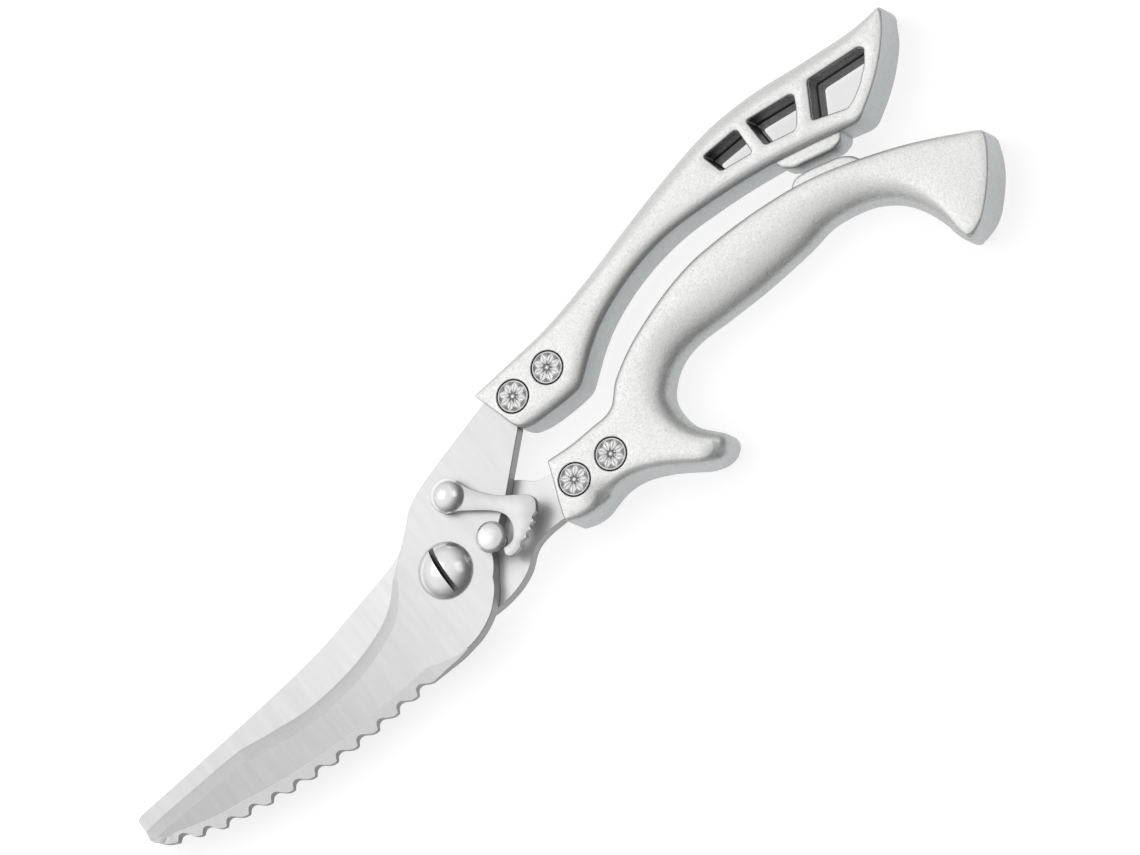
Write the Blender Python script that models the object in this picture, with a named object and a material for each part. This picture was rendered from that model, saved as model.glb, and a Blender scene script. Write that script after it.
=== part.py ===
"""Poultry shears: two riveted cast handles, two ground blades, pivot screw, spring and thumb latch.

Frame: the shears lie flat. The pivot axis is Z, +X runs from the blade tips to the handles,
and z = 0 is the plane of the pivot nut's outer face and of the handles' rear faces.
All lengths below are in millimetres and turned into metres when a mesh is made.
"""
import math

import bmesh
import bpy
from mathutils import Vector

MM = 0.001

# Driving dimensions: the stack along Z
HANDLE_THICKNESS = 12.5
BLADE_THICKNESS = 3.5
REAR_BLADE_BACK = 2.8
BLADE_GAP = 0.2
REAR_BLADE_FRONT = REAR_BLADE_BACK + BLADE_THICKNESS
FRONT_BLADE_BACK = REAR_BLADE_FRONT + BLADE_GAP
FRONT_BLADE_FRONT = FRONT_BLADE_BACK + BLADE_THICKNESS
LATCH_WASHER_THICKNESS = 0.3
LEVER_BACK = FRONT_BLADE_FRONT + 0.5
LEVER_THICKNESS = 1.8
LEVER_FRONT = LEVER_BACK + LEVER_THICKNESS
LUG_SETBACK = 2.0

# Driving dimensions: pivot, latch and rivets
PIVOT_SHANK_RADIUS = 3.0
PIVOT_BORE_RADIUS = 3.08
PIVOT_THREAD_RADIUS = 2.5
PIVOT_HEAD_RADIUS = 7.05
PIVOT_HEAD_RIM = 0.3
PIVOT_HEAD_DOME = 3.4
SLOT_WIDTH = 1.4
SLOT_DEPTH = 2.6
SLOT_ANGLE = math.radians(-5)
NUT_RADIUS = 6.5
NUT_THICKNESS = 2.0
SPRING_WIRE_RADIUS = 0.45
SPRING_RADIUS = 6.6
SPRING_POCKET_RADIUS = 8.2
SPRING_POCKET_DEPTH = 1.3
SPRING_TURNS = 1.6
STUD_AT = (14.4, -2.7)
STUD_SHANK_RADIUS = 1.6
STUD_HEAD_RADIUS = 3.9
STUD_NOTCH_RADIUS = 2.05
RELIEF_RADIUS = 12.6
LATCH_AT = (12.1, 13.1)
LATCH_REST_TURN = 3.0
LATCH_EYE_RADIUS = 4.2
LATCH_SHANK_RADIUS = 2.0
LATCH_BORE_RADIUS = 2.08
LATCH_HEAD_RADIUS = 4.3
LATCH_HEAD_DOME = 2.2
LIP_RADIUS = 16.5
CLEARANCE = 0.15
SLOT_CLEARANCE = 0.3
RIVETS = {
    "front_rivet_inner": (40.0, 20.6),
    "front_rivet_outer": (51.0, 20.1),
    "rear_rivet_inner": (39.2, -6.2),
    "rear_rivet_outer": (50.1, -7.7),
}
RIVET_HEAD_RADIUS = 4.0
RIVET_SEAT_RADIUS = 4.2
RIVET_HEAD_THICKNESS = 1.2
RIVET_TUBE_RADIUS = 2.4
RIVET_POST_RADIUS = 1.5
RIVET_HOLE_RADIUS = 2.6

# Blade grinding
CUTTING_BEVEL_WIDTH = 4.7
CUTTING_BEVEL_DROP = 3.1
EDGE_BREAK = 0.25
TOOTH_COUNT = 12
TOOTH_DEPTH = 1.6
TOOTH_GRIND_WIDTH = 3.1
TOOTH_GRIND_SLOPE = 0.61
# One scallop between two tooth points: share of the pitch, share of the depth
SCALLOP = ((0.0, 0.0), (0.1, 0.55), (0.28, 1.0), (0.5, 0.75), (0.78, 0.08))

COLOURS = {
    "blade_steel": ((0.80, 0.80, 0.79), 0.34),
    "cast_aluminium": ((0.84, 0.85, 0.84), 0.5),
    "polished_steel": ((0.78, 0.78, 0.78), 0.15),
    "spring_steel": ((0.35, 0.36, 0.38), 0.4),
}


def clear_scene():
    for old in list(bpy.data.objects):
        bpy.data.objects.remove(old, do_unlink=True)


def material(name):
    """Metal with the part's colour and roughness."""
    found = bpy.data.materials.get(name)
    if found:
        return found
    colour, roughness = COLOURS[name]
    new = bpy.data.materials.new(name)
    new.use_nodes = True
    shader = new.node_tree.nodes["Principled BSDF"]
    shader.inputs["Base Color"].default_value = (*colour, 1.0)
    shader.inputs["Metallic"].default_value = 1.0
    shader.inputs["Roughness"].default_value = roughness
    return new


def make_object(name, bm, slot):
    """Turn a bmesh in millimetres into a named object in metres."""
    bmesh.ops.scale(bm, vec=(MM, MM, MM), verts=bm.verts)
    mesh = bpy.data.meshes.new(name)
    bm.to_mesh(mesh)
    bm.free()
    mesh.shade_smooth()
    mesh.set_sharp_from_angle(angle=math.radians(30))
    made = bpy.data.objects.new(name, mesh)
    bpy.context.collection.objects.link(made)
    mesh.materials.append(material(slot))
    return made


# Plane curves


def through(points, steps=4):
    """Smooth curve through points of any dimension, both ends included."""
    rows = [Vector(p) for p in points]
    padded = [2 * rows[0] - rows[1], *rows, 2 * rows[-1] - rows[-2]]
    curve = []
    for a, b, c, d in zip(padded, padded[1:], padded[2:], padded[3:]):
        before = max((b - a).length, 0.01) ** 0.5
        along = max((c - b).length, 0.01) ** 0.5
        after = max((d - c).length, 0.01) ** 0.5
        slope_b = ((b - a) / before - (c - a) / (before + along) + (c - b) / along) * along
        slope_c = ((c - b) / along - (d - b) / (along + after) + (d - c) / after) * along
        for step in range(steps):
            t = step / steps
            curve.append(
                (2 * t**3 - 3 * t**2 + 1) * b
                + (t**3 - 2 * t**2 + t) * slope_b
                + (3 * t**2 - 2 * t**3) * c
                + (t**3 - t**2) * slope_c
            )
    curve.append(rows[-1])
    return [tuple(p) for p in curve]


def arc(centre, radius, start, end, steps):
    """Points on an arc, angles in degrees."""
    points = []
    for step in range(steps + 1):
        angle = math.radians(start + (end - start) * step / steps)
        points.append((centre[0] + radius * math.cos(angle), centre[1] + radius * math.sin(angle)))
    return points


def circle(centre, radius, steps=32):
    return arc(centre, radius, 0, 360, steps)[:-1]


def joined(*stretches):
    """One outline from stretches whose shared end points are kept once."""
    points = []
    for stretch in stretches:
        for point in stretch:
            if not points or (Vector(point[:2]) - Vector(points[-1][:2])).length > 0.02:
                points.append(tuple(point))
    if (Vector(points[0][:2]) - Vector(points[-1][:2])).length <= 0.02:
        points.pop()
    return points


def inward(points, index):
    """Unit normal into a counter-clockwise outline at one of its points."""
    before = Vector(points[index - 1][:2])
    after = Vector(points[(index + 1) % len(points)][:2])
    along = (after - before).normalized()
    return Vector((-along.y, along.x))


def inset(points, distances):
    moved = []
    for index, (point, distance) in enumerate(zip(points, distances)):
        moved.append(Vector(point[:2]) + inward(points, index) * distance)
    return [tuple(p) for p in moved]


# Solids


def loft(rings):
    """Closed body through rings of points, lowest ring first, each counter-clockwise."""
    bm = bmesh.new()
    rows = [[bm.verts.new(point) for point in ring] for ring in rings]
    for lower, upper in zip(rows, rows[1:]):
        for i in range(len(lower)):
            j = (i + 1) % len(lower)
            bm.faces.new((lower[i], lower[j], upper[j], upper[i]))
    bm.faces.new(list(reversed(rows[0])))
    bm.faces.new(rows[-1])
    return bm


def at_height(points, z):
    return [(p[0], p[1], z) for p in points]


def prism(name, outline, bottom, top, slot="polished_steel"):
    return make_object(name, loft([at_height(outline, bottom), at_height(outline, top)]), slot)


def turned(name, centre, profile, slot, steps=32, closed=False):
    """Body turned about a vertical axis; the profile of (radius, z) runs from bottom to top."""
    bm = bmesh.new()
    rings = []
    for radius, z in profile:
        if radius == 0:
            rings.append([bm.verts.new((centre[0], centre[1], z))])
        else:
            rings.append([bm.verts.new((x, y, z)) for x, y in circle(centre, radius, steps)])
    pairs = list(zip(rings, rings[1:]))
    if closed:
        pairs.append((rings[-1], rings[0]))
    for lower, upper in pairs:
        for i in range(steps):
            j = (i + 1) % steps
            corners = [lower[i % len(lower)], lower[j % len(lower)]]
            corners += [upper[j % len(upper)], upper[i % len(upper)]]
            face = [v for k, v in enumerate(corners) if v not in corners[:k]]
            bm.faces.new(face)
    return make_object(name, bm, slot)


def cut(target, cutter, operation="DIFFERENCE"):
    """Boolean with a helper object that stays hidden."""
    modifier = target.modifiers.new(cutter.name, "BOOLEAN")
    modifier.operation = operation
    modifier.solver = "EXACT"
    modifier.object = cutter
    cutter.hide_render = True
    cutter.display_type = "WIRE"


def cut_round(target, name, centre, radius, bottom, top, steps=32):
    cut(target, prism(name, circle(centre, radius, steps), bottom, top))


# Tang outlines, which the handle slots follow
FRONT_TANG = [
    (22.8, 3.6), (31.6, 11.1), (35.4, 14.3), (37.0, 16.4), (57.5, 17.0), (58.6, 18.2), (58.6, 23.0),
    (57.5, 24.2), (36.5, 24.6), (32.5, 25.3),
]
REAR_TANG = [
    (29.5, -9.3), (31.8, -10.4), (57.0, -12.4), (58.3, -11.2), (58.3, -4.6), (57.0, -3.4), (37.4, -0.6),
    (35.2, 1.2), (33.6, 1.8),
]


# Blades: a rim point is (x, y, grind width, grind drop), with an inner point where it is known


def scallops(base):
    """Tooth row along a base curve of the tooth points, from the tip end."""
    lengths = [0.0]
    for a, b in zip(base, base[1:]):
        lengths.append(lengths[-1] + math.dist(a, b))
    pitch = lengths[-1] / TOOTH_COUNT
    rim = []
    for tooth in range(TOOTH_COUNT):
        for share, depth in SCALLOP:
            wanted = (tooth + share) * pitch
            k = max(i for i in range(len(base) - 1) if lengths[i] <= wanted)
            start = Vector(base[k])
            along = Vector(base[k + 1]) - start
            spot = start + along * ((wanted - lengths[k]) / along.length)
            normal = Vector((-along.y, along.x)).normalized()
            outer = spot + normal * depth * TOOTH_DEPTH
            width = TOOTH_GRIND_WIDTH * min(1.0, 0.68 + 0.16 * (tooth + share))
            inner = spot + normal * width
            drop = TOOTH_GRIND_SLOPE * (width - depth * TOOTH_DEPTH)
            rim.append((*outer, 0.0, drop, tuple(inner)))
    return rim


def blade(name, rim, flat_z, ground_z):
    """Blade blank with one flat face and grinds that fall from the other face."""
    up = 1 if ground_z > flat_z else -1
    offsets = inset(rim, [point[2] for point in rim])
    inner = [point[4] if len(point) > 4 else offsets[i] for i, point in enumerate(rim)]
    rings = [
        at_height(rim, flat_z),
        [(p[0], p[1], ground_z - up * p[3]) for p in rim],
        at_height(inner, ground_z),
    ]
    if up < 0:
        rings.reverse()
    return make_object(name, loft(rings), "blade_steel")


def plain(points):
    return [(*p[:2], EDGE_BREAK, EDGE_BREAK) for p in points]


def ground(points):
    """Cutting edge: the grind grows from nothing at the heel, the curve's first or last point."""
    return [(*p[:2], p[2] * CUTTING_BEVEL_WIDTH, p[2] * CUTTING_BEVEL_DROP) for p in points]


def front_blade():
    tip = plain([(-99.0, 1.0), (-97.9, -0.5), (-96.8, -2.1), (-95.4, -3.3)])
    tooth_line = [
        (-93.8, -4.3), (-82.3, -9.6), (-75.9, -11.2), (-64, -14.3), (-45.8, -17.2), (-26, -18.3),
        (-18.6, -18.4),
    ]
    teeth = scallops(through(tooth_line, 6))
    fading = [
        (-18.6, -18.4, 0.0, TOOTH_GRIND_SLOPE * 3.1, (-18.5, -15.3)),
        (-14.9, -18.7, 0.0, TOOTH_GRIND_SLOPE * 2.0, (-14.8, -16.7)),
        (-11, -18.9, 0.0, TOOTH_GRIND_SLOPE * 1.0, (-10.9, -17.9)),
    ]
    belly = plain(through(
        [
            (-7.1, -18.8), (-4.1, -18.5), (-0.4, -17.4), (2.6, -15.9), (5.0, -13.9), (6.9, -11.9),
            (8.1, -9.65),
        ],
        3,
    ))
    relief = plain(arc((0, 0), RELIEF_RADIUS, -50, -10.6, 9))
    notch = plain(arc(STUD_AT, STUD_NOTCH_RADIUS, 169.4, 62, 6))
    tang = plain([(16.6, -1.2), *FRONT_TANG])
    back = plain(through([(32.5, 25.3), (17.7, 22.5), (4.5, 19.3), (-1.6, 15.0), (-7.5, 10.7)], 3))
    edge = ground(
        through(
            [
                (-9.2, 9.6, 0.05), (-12.0, 7.9, 0.45), (-15.4, 5.1, 0.75), (-19.8, 2.5, 0.9),
                (-26.5, 0.4, 1), (-35, -1.0, 1), (-44.4, -1.3, 1), (-51.2, -0.6, 1), (-60, 1.1, 1),
                (-66, 2.6, 1),
            ],
            2,
        )
        + through([(-68, 3.0, 1), (-74.3, 3.5, 1), (-87, 3.9, 0.95), (-98.6, 3.9, 0.85)], 3)
    )
    rim = joined(tip, teeth, fading, belly, relief, notch, tang, back, edge)
    made = blade("front_blade", rim, FRONT_BLADE_BACK, FRONT_BLADE_FRONT)
    low, high = FRONT_BLADE_BACK - 1, FRONT_BLADE_FRONT + 1
    cut_round(made, "cut_front_pivot", (0, 0), PIVOT_BORE_RADIUS, low, high, 48)
    pocket_top = FRONT_BLADE_BACK + SPRING_POCKET_DEPTH
    cut(made, prism("cut_front_pocket", spring_pocket(200), low, pocket_top))
    cut_round(made, "cut_front_latch", LATCH_AT, LATCH_SHANK_RADIUS + CLEARANCE, low, high)
    cut_round(made, "cut_latch_tail", LATCH_AT, 3.4, low, FRONT_BLADE_BACK + 1.3)
    for name in ("front_rivet_inner", "front_rivet_outer"):
        cut_round(made, "cut_tang_" + name, RIVETS[name], RIVET_HOLE_RADIUS, low, high)
    return made


def rear_blade():
    edge = ground([
        (-98.9, 1.5, 0.85), (-80, -2.2, 1), (-55, -5.2, 1), (-30, -7.8, 1), (-18, -9.4, 0.8),
    ])
    heel = plain(through(
        [
            (-13, -10.6), (-6, -13.0), (2, -14.8), (9.6, -14.6), (15, -12.9), (19.8, -9.9),
            (23.5, -9.2), (29.5, -9.3),
        ],
        3,
    ))
    tang = plain(REAR_TANG)
    back = plain(through(
        [
            (33.6, 1.8), (30.4, 3.0), (26.8, 6.4), (21, 10.6), (13, 13.8), (4, 14.9), (-4, 14.0),
            (-9.5, 12.2), (-22, 10.2), (-37.6, 8.4), (-58, 7.8), (-78, 7.9), (-97.4, 8.3),
        ],
        3,
    ))
    tip = plain([(-98.6, 7.9), (-98.9, 6.8)])
    rim = joined(edge, heel, tang, back, tip)
    made = blade("rear_blade", rim, REAR_BLADE_FRONT, REAR_BLADE_BACK)
    low, high = REAR_BLADE_BACK - 1, REAR_BLADE_FRONT + 1
    cut_round(made, "cut_rear_pivot", (0, 0), PIVOT_BORE_RADIUS, low, high, 48)
    pocket_floor = REAR_BLADE_FRONT - SPRING_POCKET_DEPTH
    cut(made, prism("cut_rear_pocket", spring_pocket(60), pocket_floor, high))
    cut_round(made, "cut_rear_stud", STUD_AT, STUD_SHANK_RADIUS + CLEARANCE, low, high)
    for name in ("rear_rivet_inner", "rear_rivet_outer"):
        cut_round(made, "cut_tang_" + name, RIVETS[name], RIVET_HOLE_RADIUS, low, high)
    return made


def spring_pocket(leg_angle):
    """Round recess with a short radial slot for one leg of the spring."""
    half_width = 8
    slot_reach = SPRING_POCKET_RADIUS + 2.2
    return joined(
        arc((0, 0), slot_reach, leg_angle - half_width, leg_angle + half_width, 3),
        arc((0, 0), SPRING_POCKET_RADIUS, leg_angle + half_width, leg_angle + 360 - half_width, 30),
    )


# Handles: an outline point is (x, y, round-over width, round-over depth)

FRONT_HANDLE_STRETCHES = (
    [
        (35.6, 14.6, 0.6, 0.6), (36.4, 13.1, 0.8, 0.8), (38.3, 12.1, 1, 1), (44, 11.5, 1, 1),
        (50.5, 11.0, 1, 1), (54.4, 11.2, 1, 1), (57.2, 13.2, 1, 1), (62.5, 16.8, 1, 1),
        (69.5, 20.4, 1, 1), (80, 23.5, 1, 1), (93, 24.9, 1, 1), (107, 23.5, 1, 1), (122, 20.6, 1, 1),
        (136, 16.6, 1, 1), (146.3, 12.8, 1, 1),
    ],
    [
        (149.0, 12.6, 0.6, 0.6), (155.3, 16.1, 0.6, 0.6), (163, 21.9, 0.6, 0.6), (168, 27.4, 0.6, 0.6),
        (169.8, 30.2, 0.8, 0.8),
    ],
    [
        (169.2, 31.5, 1.5, 1.5), (160, 32.0, 3, 3), (145, 34.8, 3.5, 3), (131.5, 37.5, 3.5, 3),
        (118, 38.4, 3.5, 3), (104, 37.1, 3.5, 3), (88, 34.2, 3.5, 3), (71, 30.8, 3, 3),
        (56, 28.4, 2, 2), (44, 27.9, 1, 1), (32.6, 27.6, 0.6, 0.6),
    ],
)

REAR_HANDLE_STRETCHES = (
    [
        (30.7, -12.6, 0.6, 0.6), (33.0, -14.2, 1, 1), (38.5, -15.6, 1.5, 1.5), (45, -14.7, 2, 2.5),
        (51, -15.4, 2, 3), (57.2, -18.8, 2, 3), (64.5, -24.6, 2, 3), (69.2, -27.0, 1.6, 2.5),
        (73.4, -26.4, 1.4, 2), (75.0, -23.8, 1.4, 2), (72.6, -19.6, 2, 3), (69.6, -14.8, 3, 4),
        (68.6, -9.6, 4, 4.5), (69.8, -5.4, 5, 5), (73.6, -2.0, 6, 5.5), (82.8, 0.2, 8.5, 6),
        (98, -1.2, 9, 6), (112, -1.8, 9, 6), (124.5, -1.2, 8.5, 6), (132, -2.6, 7.5, 6),
        (139.5, -6.2, 6.5, 6), (145, -12.0, 5, 5.5), (148.0, -20.0, 3.5, 5), (149.4, -27.0, 1.6, 3),
        (151.4, -29.4, 1.4, 2),
    ],
    [
        (154.4, -29.0, 0.8, 1), (160.8, -24.2, 0.6, 0.6), (166.2, -18.5, 0.6, 0.6),
        (170.4, -11.9, 0.6, 0.6),
    ],
    [
        (170.2, -10.6, 1, 1), (161, -4.4, 1, 1), (149, 2.3, 1, 1), (136, 8.3, 1, 1), (120, 12.5, 1, 1),
        (107.7, 14.7, 1, 1), (96, 15.4, 1, 1), (86, 14.4, 1, 1), (74, 11.2, 1, 1), (64.9, 7.5, 1, 1),
        (59.6, 3.7, 1, 1), (57.0, 1.5, 1, 1), (53.5, 0.9, 1, 1), (44, 1.3, 1, 1), (36.9, 2.3, 0.6, 0.6),
    ],
)

WINDOWS = (
    [
        (113.4, 32.0), (122.3, 32.4), (123.4, 31.5), (123.1, 26.2), (122.2, 25.5), (115.2, 27.1),
        (114.2, 28.0),
    ],
    [
        (127.0, 31.4), (127.7, 32.0), (138.9, 29.6), (139.4, 28.7), (138.2, 26.0), (135.4, 22.6),
        (134.0, 22.2), (127.6, 24.2),
    ],
    [
        (139.9, 21.4), (143.7, 28.4), (145.0, 28.9), (158.9, 26.6), (160.2, 25.4), (158.0, 22.4),
        (154.1, 19.4), (150.2, 17.6), (148.2, 17.1), (140.9, 20.1),
    ],
)

FRONT_LUG = [
    (124.4, 21.5), (126.3, 17.6), (128.3, 15.7), (131.0, 14.85), (139.0, 12.25), (141.6, 12.9),
    (143.6, 15.5), (138, 20.0),
]
REAR_LUG = [
    (124.4, 8.5), (138, 3.0), (142.5, 5.2), (141.2, 8.0), (139.0, 9.9), (131.0, 12.8), (127.2, 13.6),
    (125.0, 12.2),
]


def casting(name, stretches):
    """Handle with flat faces and elliptical round-overs of varying width along its rim."""
    outline = joined(*(through(stretch, 3) for stretch in stretches))
    widths = [p[2] for p in outline]
    depths = [p[3] for p in outline]
    rings = []
    for angle in (math.radians(90), math.radians(40), 0.0):
        ring = inset(outline, [w * (1 - math.cos(angle)) for w in widths])
        drops = [d * (1 - math.sin(angle)) for d in depths]
        rings.append((ring, drops))
    lower = [[(x, y, drop) for (x, y), drop in zip(ring, drops)] for ring, drops in rings]
    upper = [[(x, y, HANDLE_THICKNESS - z) for x, y, z in ring] for ring in reversed(lower)]
    return make_object(name, loft(lower + upper), "cast_aluminium")


def drill_rivet_seats(handle, names):
    for name in names:
        at = RIVETS[name]
        seat_depth = RIVET_HEAD_THICKNESS + CLEARANCE
        cut_round(handle, "cut_hole_" + name, at, RIVET_HOLE_RADIUS, -1, HANDLE_THICKNESS + 1, 24)
        cut_round(handle, "cut_back_" + name, at, RIVET_SEAT_RADIUS, -1, seat_depth)
        cut_round(
            handle, "cut_face_" + name, at, RIVET_SEAT_RADIUS, HANDLE_THICKNESS - seat_depth,
            HANDLE_THICKNESS + 1,
        )


def front_handle():
    made = casting("front_handle", FRONT_HANDLE_STRETCHES)
    cut(made, prism("add_front_lug", FRONT_LUG, LUG_SETBACK, HANDLE_THICKNESS - LUG_SETBACK), "UNION")
    for number, window in enumerate(WINDOWS):
        cut(made, prism(f"cut_window_{number}", list(reversed(window)), -1, HANDLE_THICKNESS + 1))
    slot = inset(FRONT_TANG, [-SLOT_CLEARANCE] * len(FRONT_TANG))
    cut(
        made,
        prism("cut_front_slot", slot, FRONT_BLADE_BACK - CLEARANCE, FRONT_BLADE_FRONT + CLEARANCE),
    )
    drill_rivet_seats(made, ("front_rivet_inner", "front_rivet_outer"))
    return made


def rear_handle():
    made = casting("rear_handle", REAR_HANDLE_STRETCHES)
    cut(made, prism("add_rear_lug", REAR_LUG, LUG_SETBACK, HANDLE_THICKNESS - LUG_SETBACK), "UNION")
    slot = inset(REAR_TANG, [-SLOT_CLEARANCE] * len(REAR_TANG))
    cut(made, prism("cut_rear_slot", slot, REAR_BLADE_BACK - CLEARANCE, REAR_BLADE_FRONT + CLEARANCE))
    drill_rivet_seats(made, ("rear_rivet_inner", "rear_rivet_outer"))
    return made


def cutlers_rivet(name):
    """Two-part rivet: a post from the front face pressed into a tube from the rear face."""
    at = RIVETS[name]
    top = HANDLE_THICKNESS
    head = RIVET_HEAD_THICKNESS
    tube_top = top - head - 0.4
    post = [(0, 1.8), (RIVET_POST_RADIUS, 1.8), (RIVET_POST_RADIUS, top - head)]
    post += [
        (RIVET_HEAD_RADIUS, top - head), (RIVET_HEAD_RADIUS, top - 0.25),
        (RIVET_HEAD_RADIUS - 0.25, top), (0, top),
    ]
    turned(name + "_post", at, post, "polished_steel", 24)
    bore = RIVET_POST_RADIUS + CLEARANCE
    tube = [(0, 0), (RIVET_HEAD_RADIUS - 0.25, 0), (RIVET_HEAD_RADIUS, 0.25), (RIVET_HEAD_RADIUS, head)]
    tube += [
        (RIVET_TUBE_RADIUS, head), (RIVET_TUBE_RADIUS, tube_top), (bore, tube_top), (bore, 1.6),
        (0, 1.6),
    ]
    turned(name + "_tube", at, tube, "polished_steel", 24)


# Pivot and latch hardware


def dome(radius, base, rise, steps):
    """Profile of a spherical cap from its rim to its top."""
    sphere = (radius**2 + rise**2) / (2 * rise)
    edge = math.asin(radius / sphere)
    profile = []
    for step in range(1, steps):
        tilt = edge * (1 - step / steps)
        profile.append((sphere * math.sin(tilt), base + rise - sphere * (1 - math.cos(tilt))))
    return profile + [(0, base + rise)]


def pivot_screw():
    seat = FRONT_BLADE_FRONT + 0.1
    rim_top = seat + PIVOT_HEAD_RIM
    profile = [(0, 0), (PIVOT_THREAD_RADIUS, 0), (PIVOT_THREAD_RADIUS, REAR_BLADE_BACK - 0.05)]
    profile += [
        (PIVOT_SHANK_RADIUS, REAR_BLADE_BACK - 0.05), (PIVOT_SHANK_RADIUS, seat),
        (PIVOT_HEAD_RADIUS - 0.2, seat),
    ]
    profile += [(PIVOT_HEAD_RADIUS, seat + 0.2), (PIVOT_HEAD_RADIUS, rim_top)]
    profile += dome(PIVOT_HEAD_RADIUS, rim_top, PIVOT_HEAD_DOME, 6)
    screw = turned("pivot_screw", (0, 0), profile, "polished_steel", 48)
    half = SLOT_WIDTH / 2
    reach = PIVOT_HEAD_RADIUS + 1
    corners = [(-half, -reach), (half, -reach), (half, reach), (-half, reach)]
    turn_x, turn_y = math.cos(SLOT_ANGLE), math.sin(SLOT_ANGLE)
    slot = [(x * turn_x - y * turn_y, x * turn_y + y * turn_x) for x, y in corners]
    dome_top = rim_top + PIVOT_HEAD_DOME
    cut(screw, prism("cut_screw_slot", slot, dome_top - SLOT_DEPTH, dome_top + 1))


def pivot_nut_and_washer():
    bore = PIVOT_THREAD_RADIUS + CLEARANCE
    nut = [
        (bore, 0), (NUT_RADIUS - 0.4, 0), (NUT_RADIUS, 0.4), (NUT_RADIUS, NUT_THICKNESS),
        (bore, NUT_THICKNESS),
    ]
    made = turned("pivot_nut", (0, 0), nut, "polished_steel", 36, closed=True)
    for side in (-1, 1):
        cut_round(made, f"cut_nut_{side}", (side * 4.6, 0), 0.9, -1, 1.4, 12)
    low, high = NUT_THICKNESS + 0.1, REAR_BLADE_BACK - 0.15
    washer = [(bore, low), (NUT_RADIUS - 0.5, low), (NUT_RADIUS - 0.5, high), (bore, high)]
    turned("pivot_washer", (0, 0), washer, "spring_steel", 36, closed=True)


def torsion_spring():
    """Coil round the pivot, in the pockets of the two blades, with one leg in each."""
    low = REAR_BLADE_FRONT - SPRING_POCKET_DEPTH + SPRING_WIRE_RADIUS + 0.15
    high = FRONT_BLADE_BACK + SPRING_POCKET_DEPTH - SPRING_WIRE_RADIUS - 0.15
    first = 60.0
    last = 200.0 + 360.0
    leg = SPRING_POCKET_RADIUS + 1.4
    steps = 44
    route = [(leg, first, low)]
    for step in range(steps + 1):
        share = step / steps
        route.append((SPRING_RADIUS, first + (last - first) * share, low + (high - low) * share))
    route.append((leg, last, high))
    curve = bpy.data.curves.new("torsion_spring", "CURVE")
    curve.dimensions = "3D"
    curve.bevel_depth = SPRING_WIRE_RADIUS * MM
    curve.bevel_resolution = 1
    curve.use_fill_caps = True
    spline = curve.splines.new("POLY")
    spline.points.add(len(route) - 1)
    for point, (radius, angle, z) in zip(spline.points, route):
        x = radius * math.cos(math.radians(angle)) * MM
        y = radius * math.sin(math.radians(angle)) * MM
        point.co = (x, y, z * MM, 1)
    made = bpy.data.objects.new("torsion_spring", curve)
    bpy.context.collection.objects.link(made)
    curve.materials.append(material("spring_steel"))


def latch_stud():
    head_back = LEVER_FRONT + 0.2
    head_front = head_back + 1.2
    tail = REAR_BLADE_BACK - 0.1
    radius = STUD_SHANK_RADIUS
    profile = [
        (0, tail - 0.9), (2.6, tail - 0.9), (3.0, tail - 0.5), (3.0, tail), (radius, tail),
        (radius, head_back),
    ]
    profile += [(STUD_HEAD_RADIUS - 0.2, head_back), (STUD_HEAD_RADIUS, head_back + 0.2)]
    profile += [
        (STUD_HEAD_RADIUS, head_front - 0.3), (STUD_HEAD_RADIUS - 0.3, head_front), (0, head_front),
    ]
    turned("latch_stud", STUD_AT, profile, "polished_steel", 32)


def latch_rivet():
    head_back = LEVER_FRONT + 0.1
    tail = FRONT_BLADE_BACK + 0.1
    radius = LATCH_SHANK_RADIUS
    profile = [(0, tail), (3.2, tail), (3.2, tail + 1.0), (radius, tail + 1.0), (radius, head_back)]
    profile += [(LATCH_HEAD_RADIUS - 0.1, head_back), (LATCH_HEAD_RADIUS, head_back + 0.3)]
    profile += dome(LATCH_HEAD_RADIUS, head_back + 0.3, LATCH_HEAD_DOME, 5)
    turned("latch_rivet", LATCH_AT, profile, "polished_steel", 32)
    bore = LATCH_SHANK_RADIUS + CLEARANCE
    low = FRONT_BLADE_FRONT + 0.1
    high = low + LATCH_WASHER_THICKNESS
    ring = [(bore, low), (LATCH_HEAD_RADIUS, low), (LATCH_HEAD_RADIUS, high), (bore, high)]
    turned("latch_washer", LATCH_AT, ring, "spring_steel", 32, closed=True)


def lever_teeth(tips, depth):
    """Thumb grip of rounded notches between tooth tips."""
    points = []
    for tip, following in zip(tips, tips[1:]):
        start = Vector(tip)
        along = Vector(following) - start
        into = Vector((-along.y, along.x)).normalized() * depth
        for share, level in ((0, 0), (0.2, 0.65), (0.42, 1.0), (0.7, 0.6)):
            points.append(tuple(start + along * share + into * level))
    return points + [tips[-1]]


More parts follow.
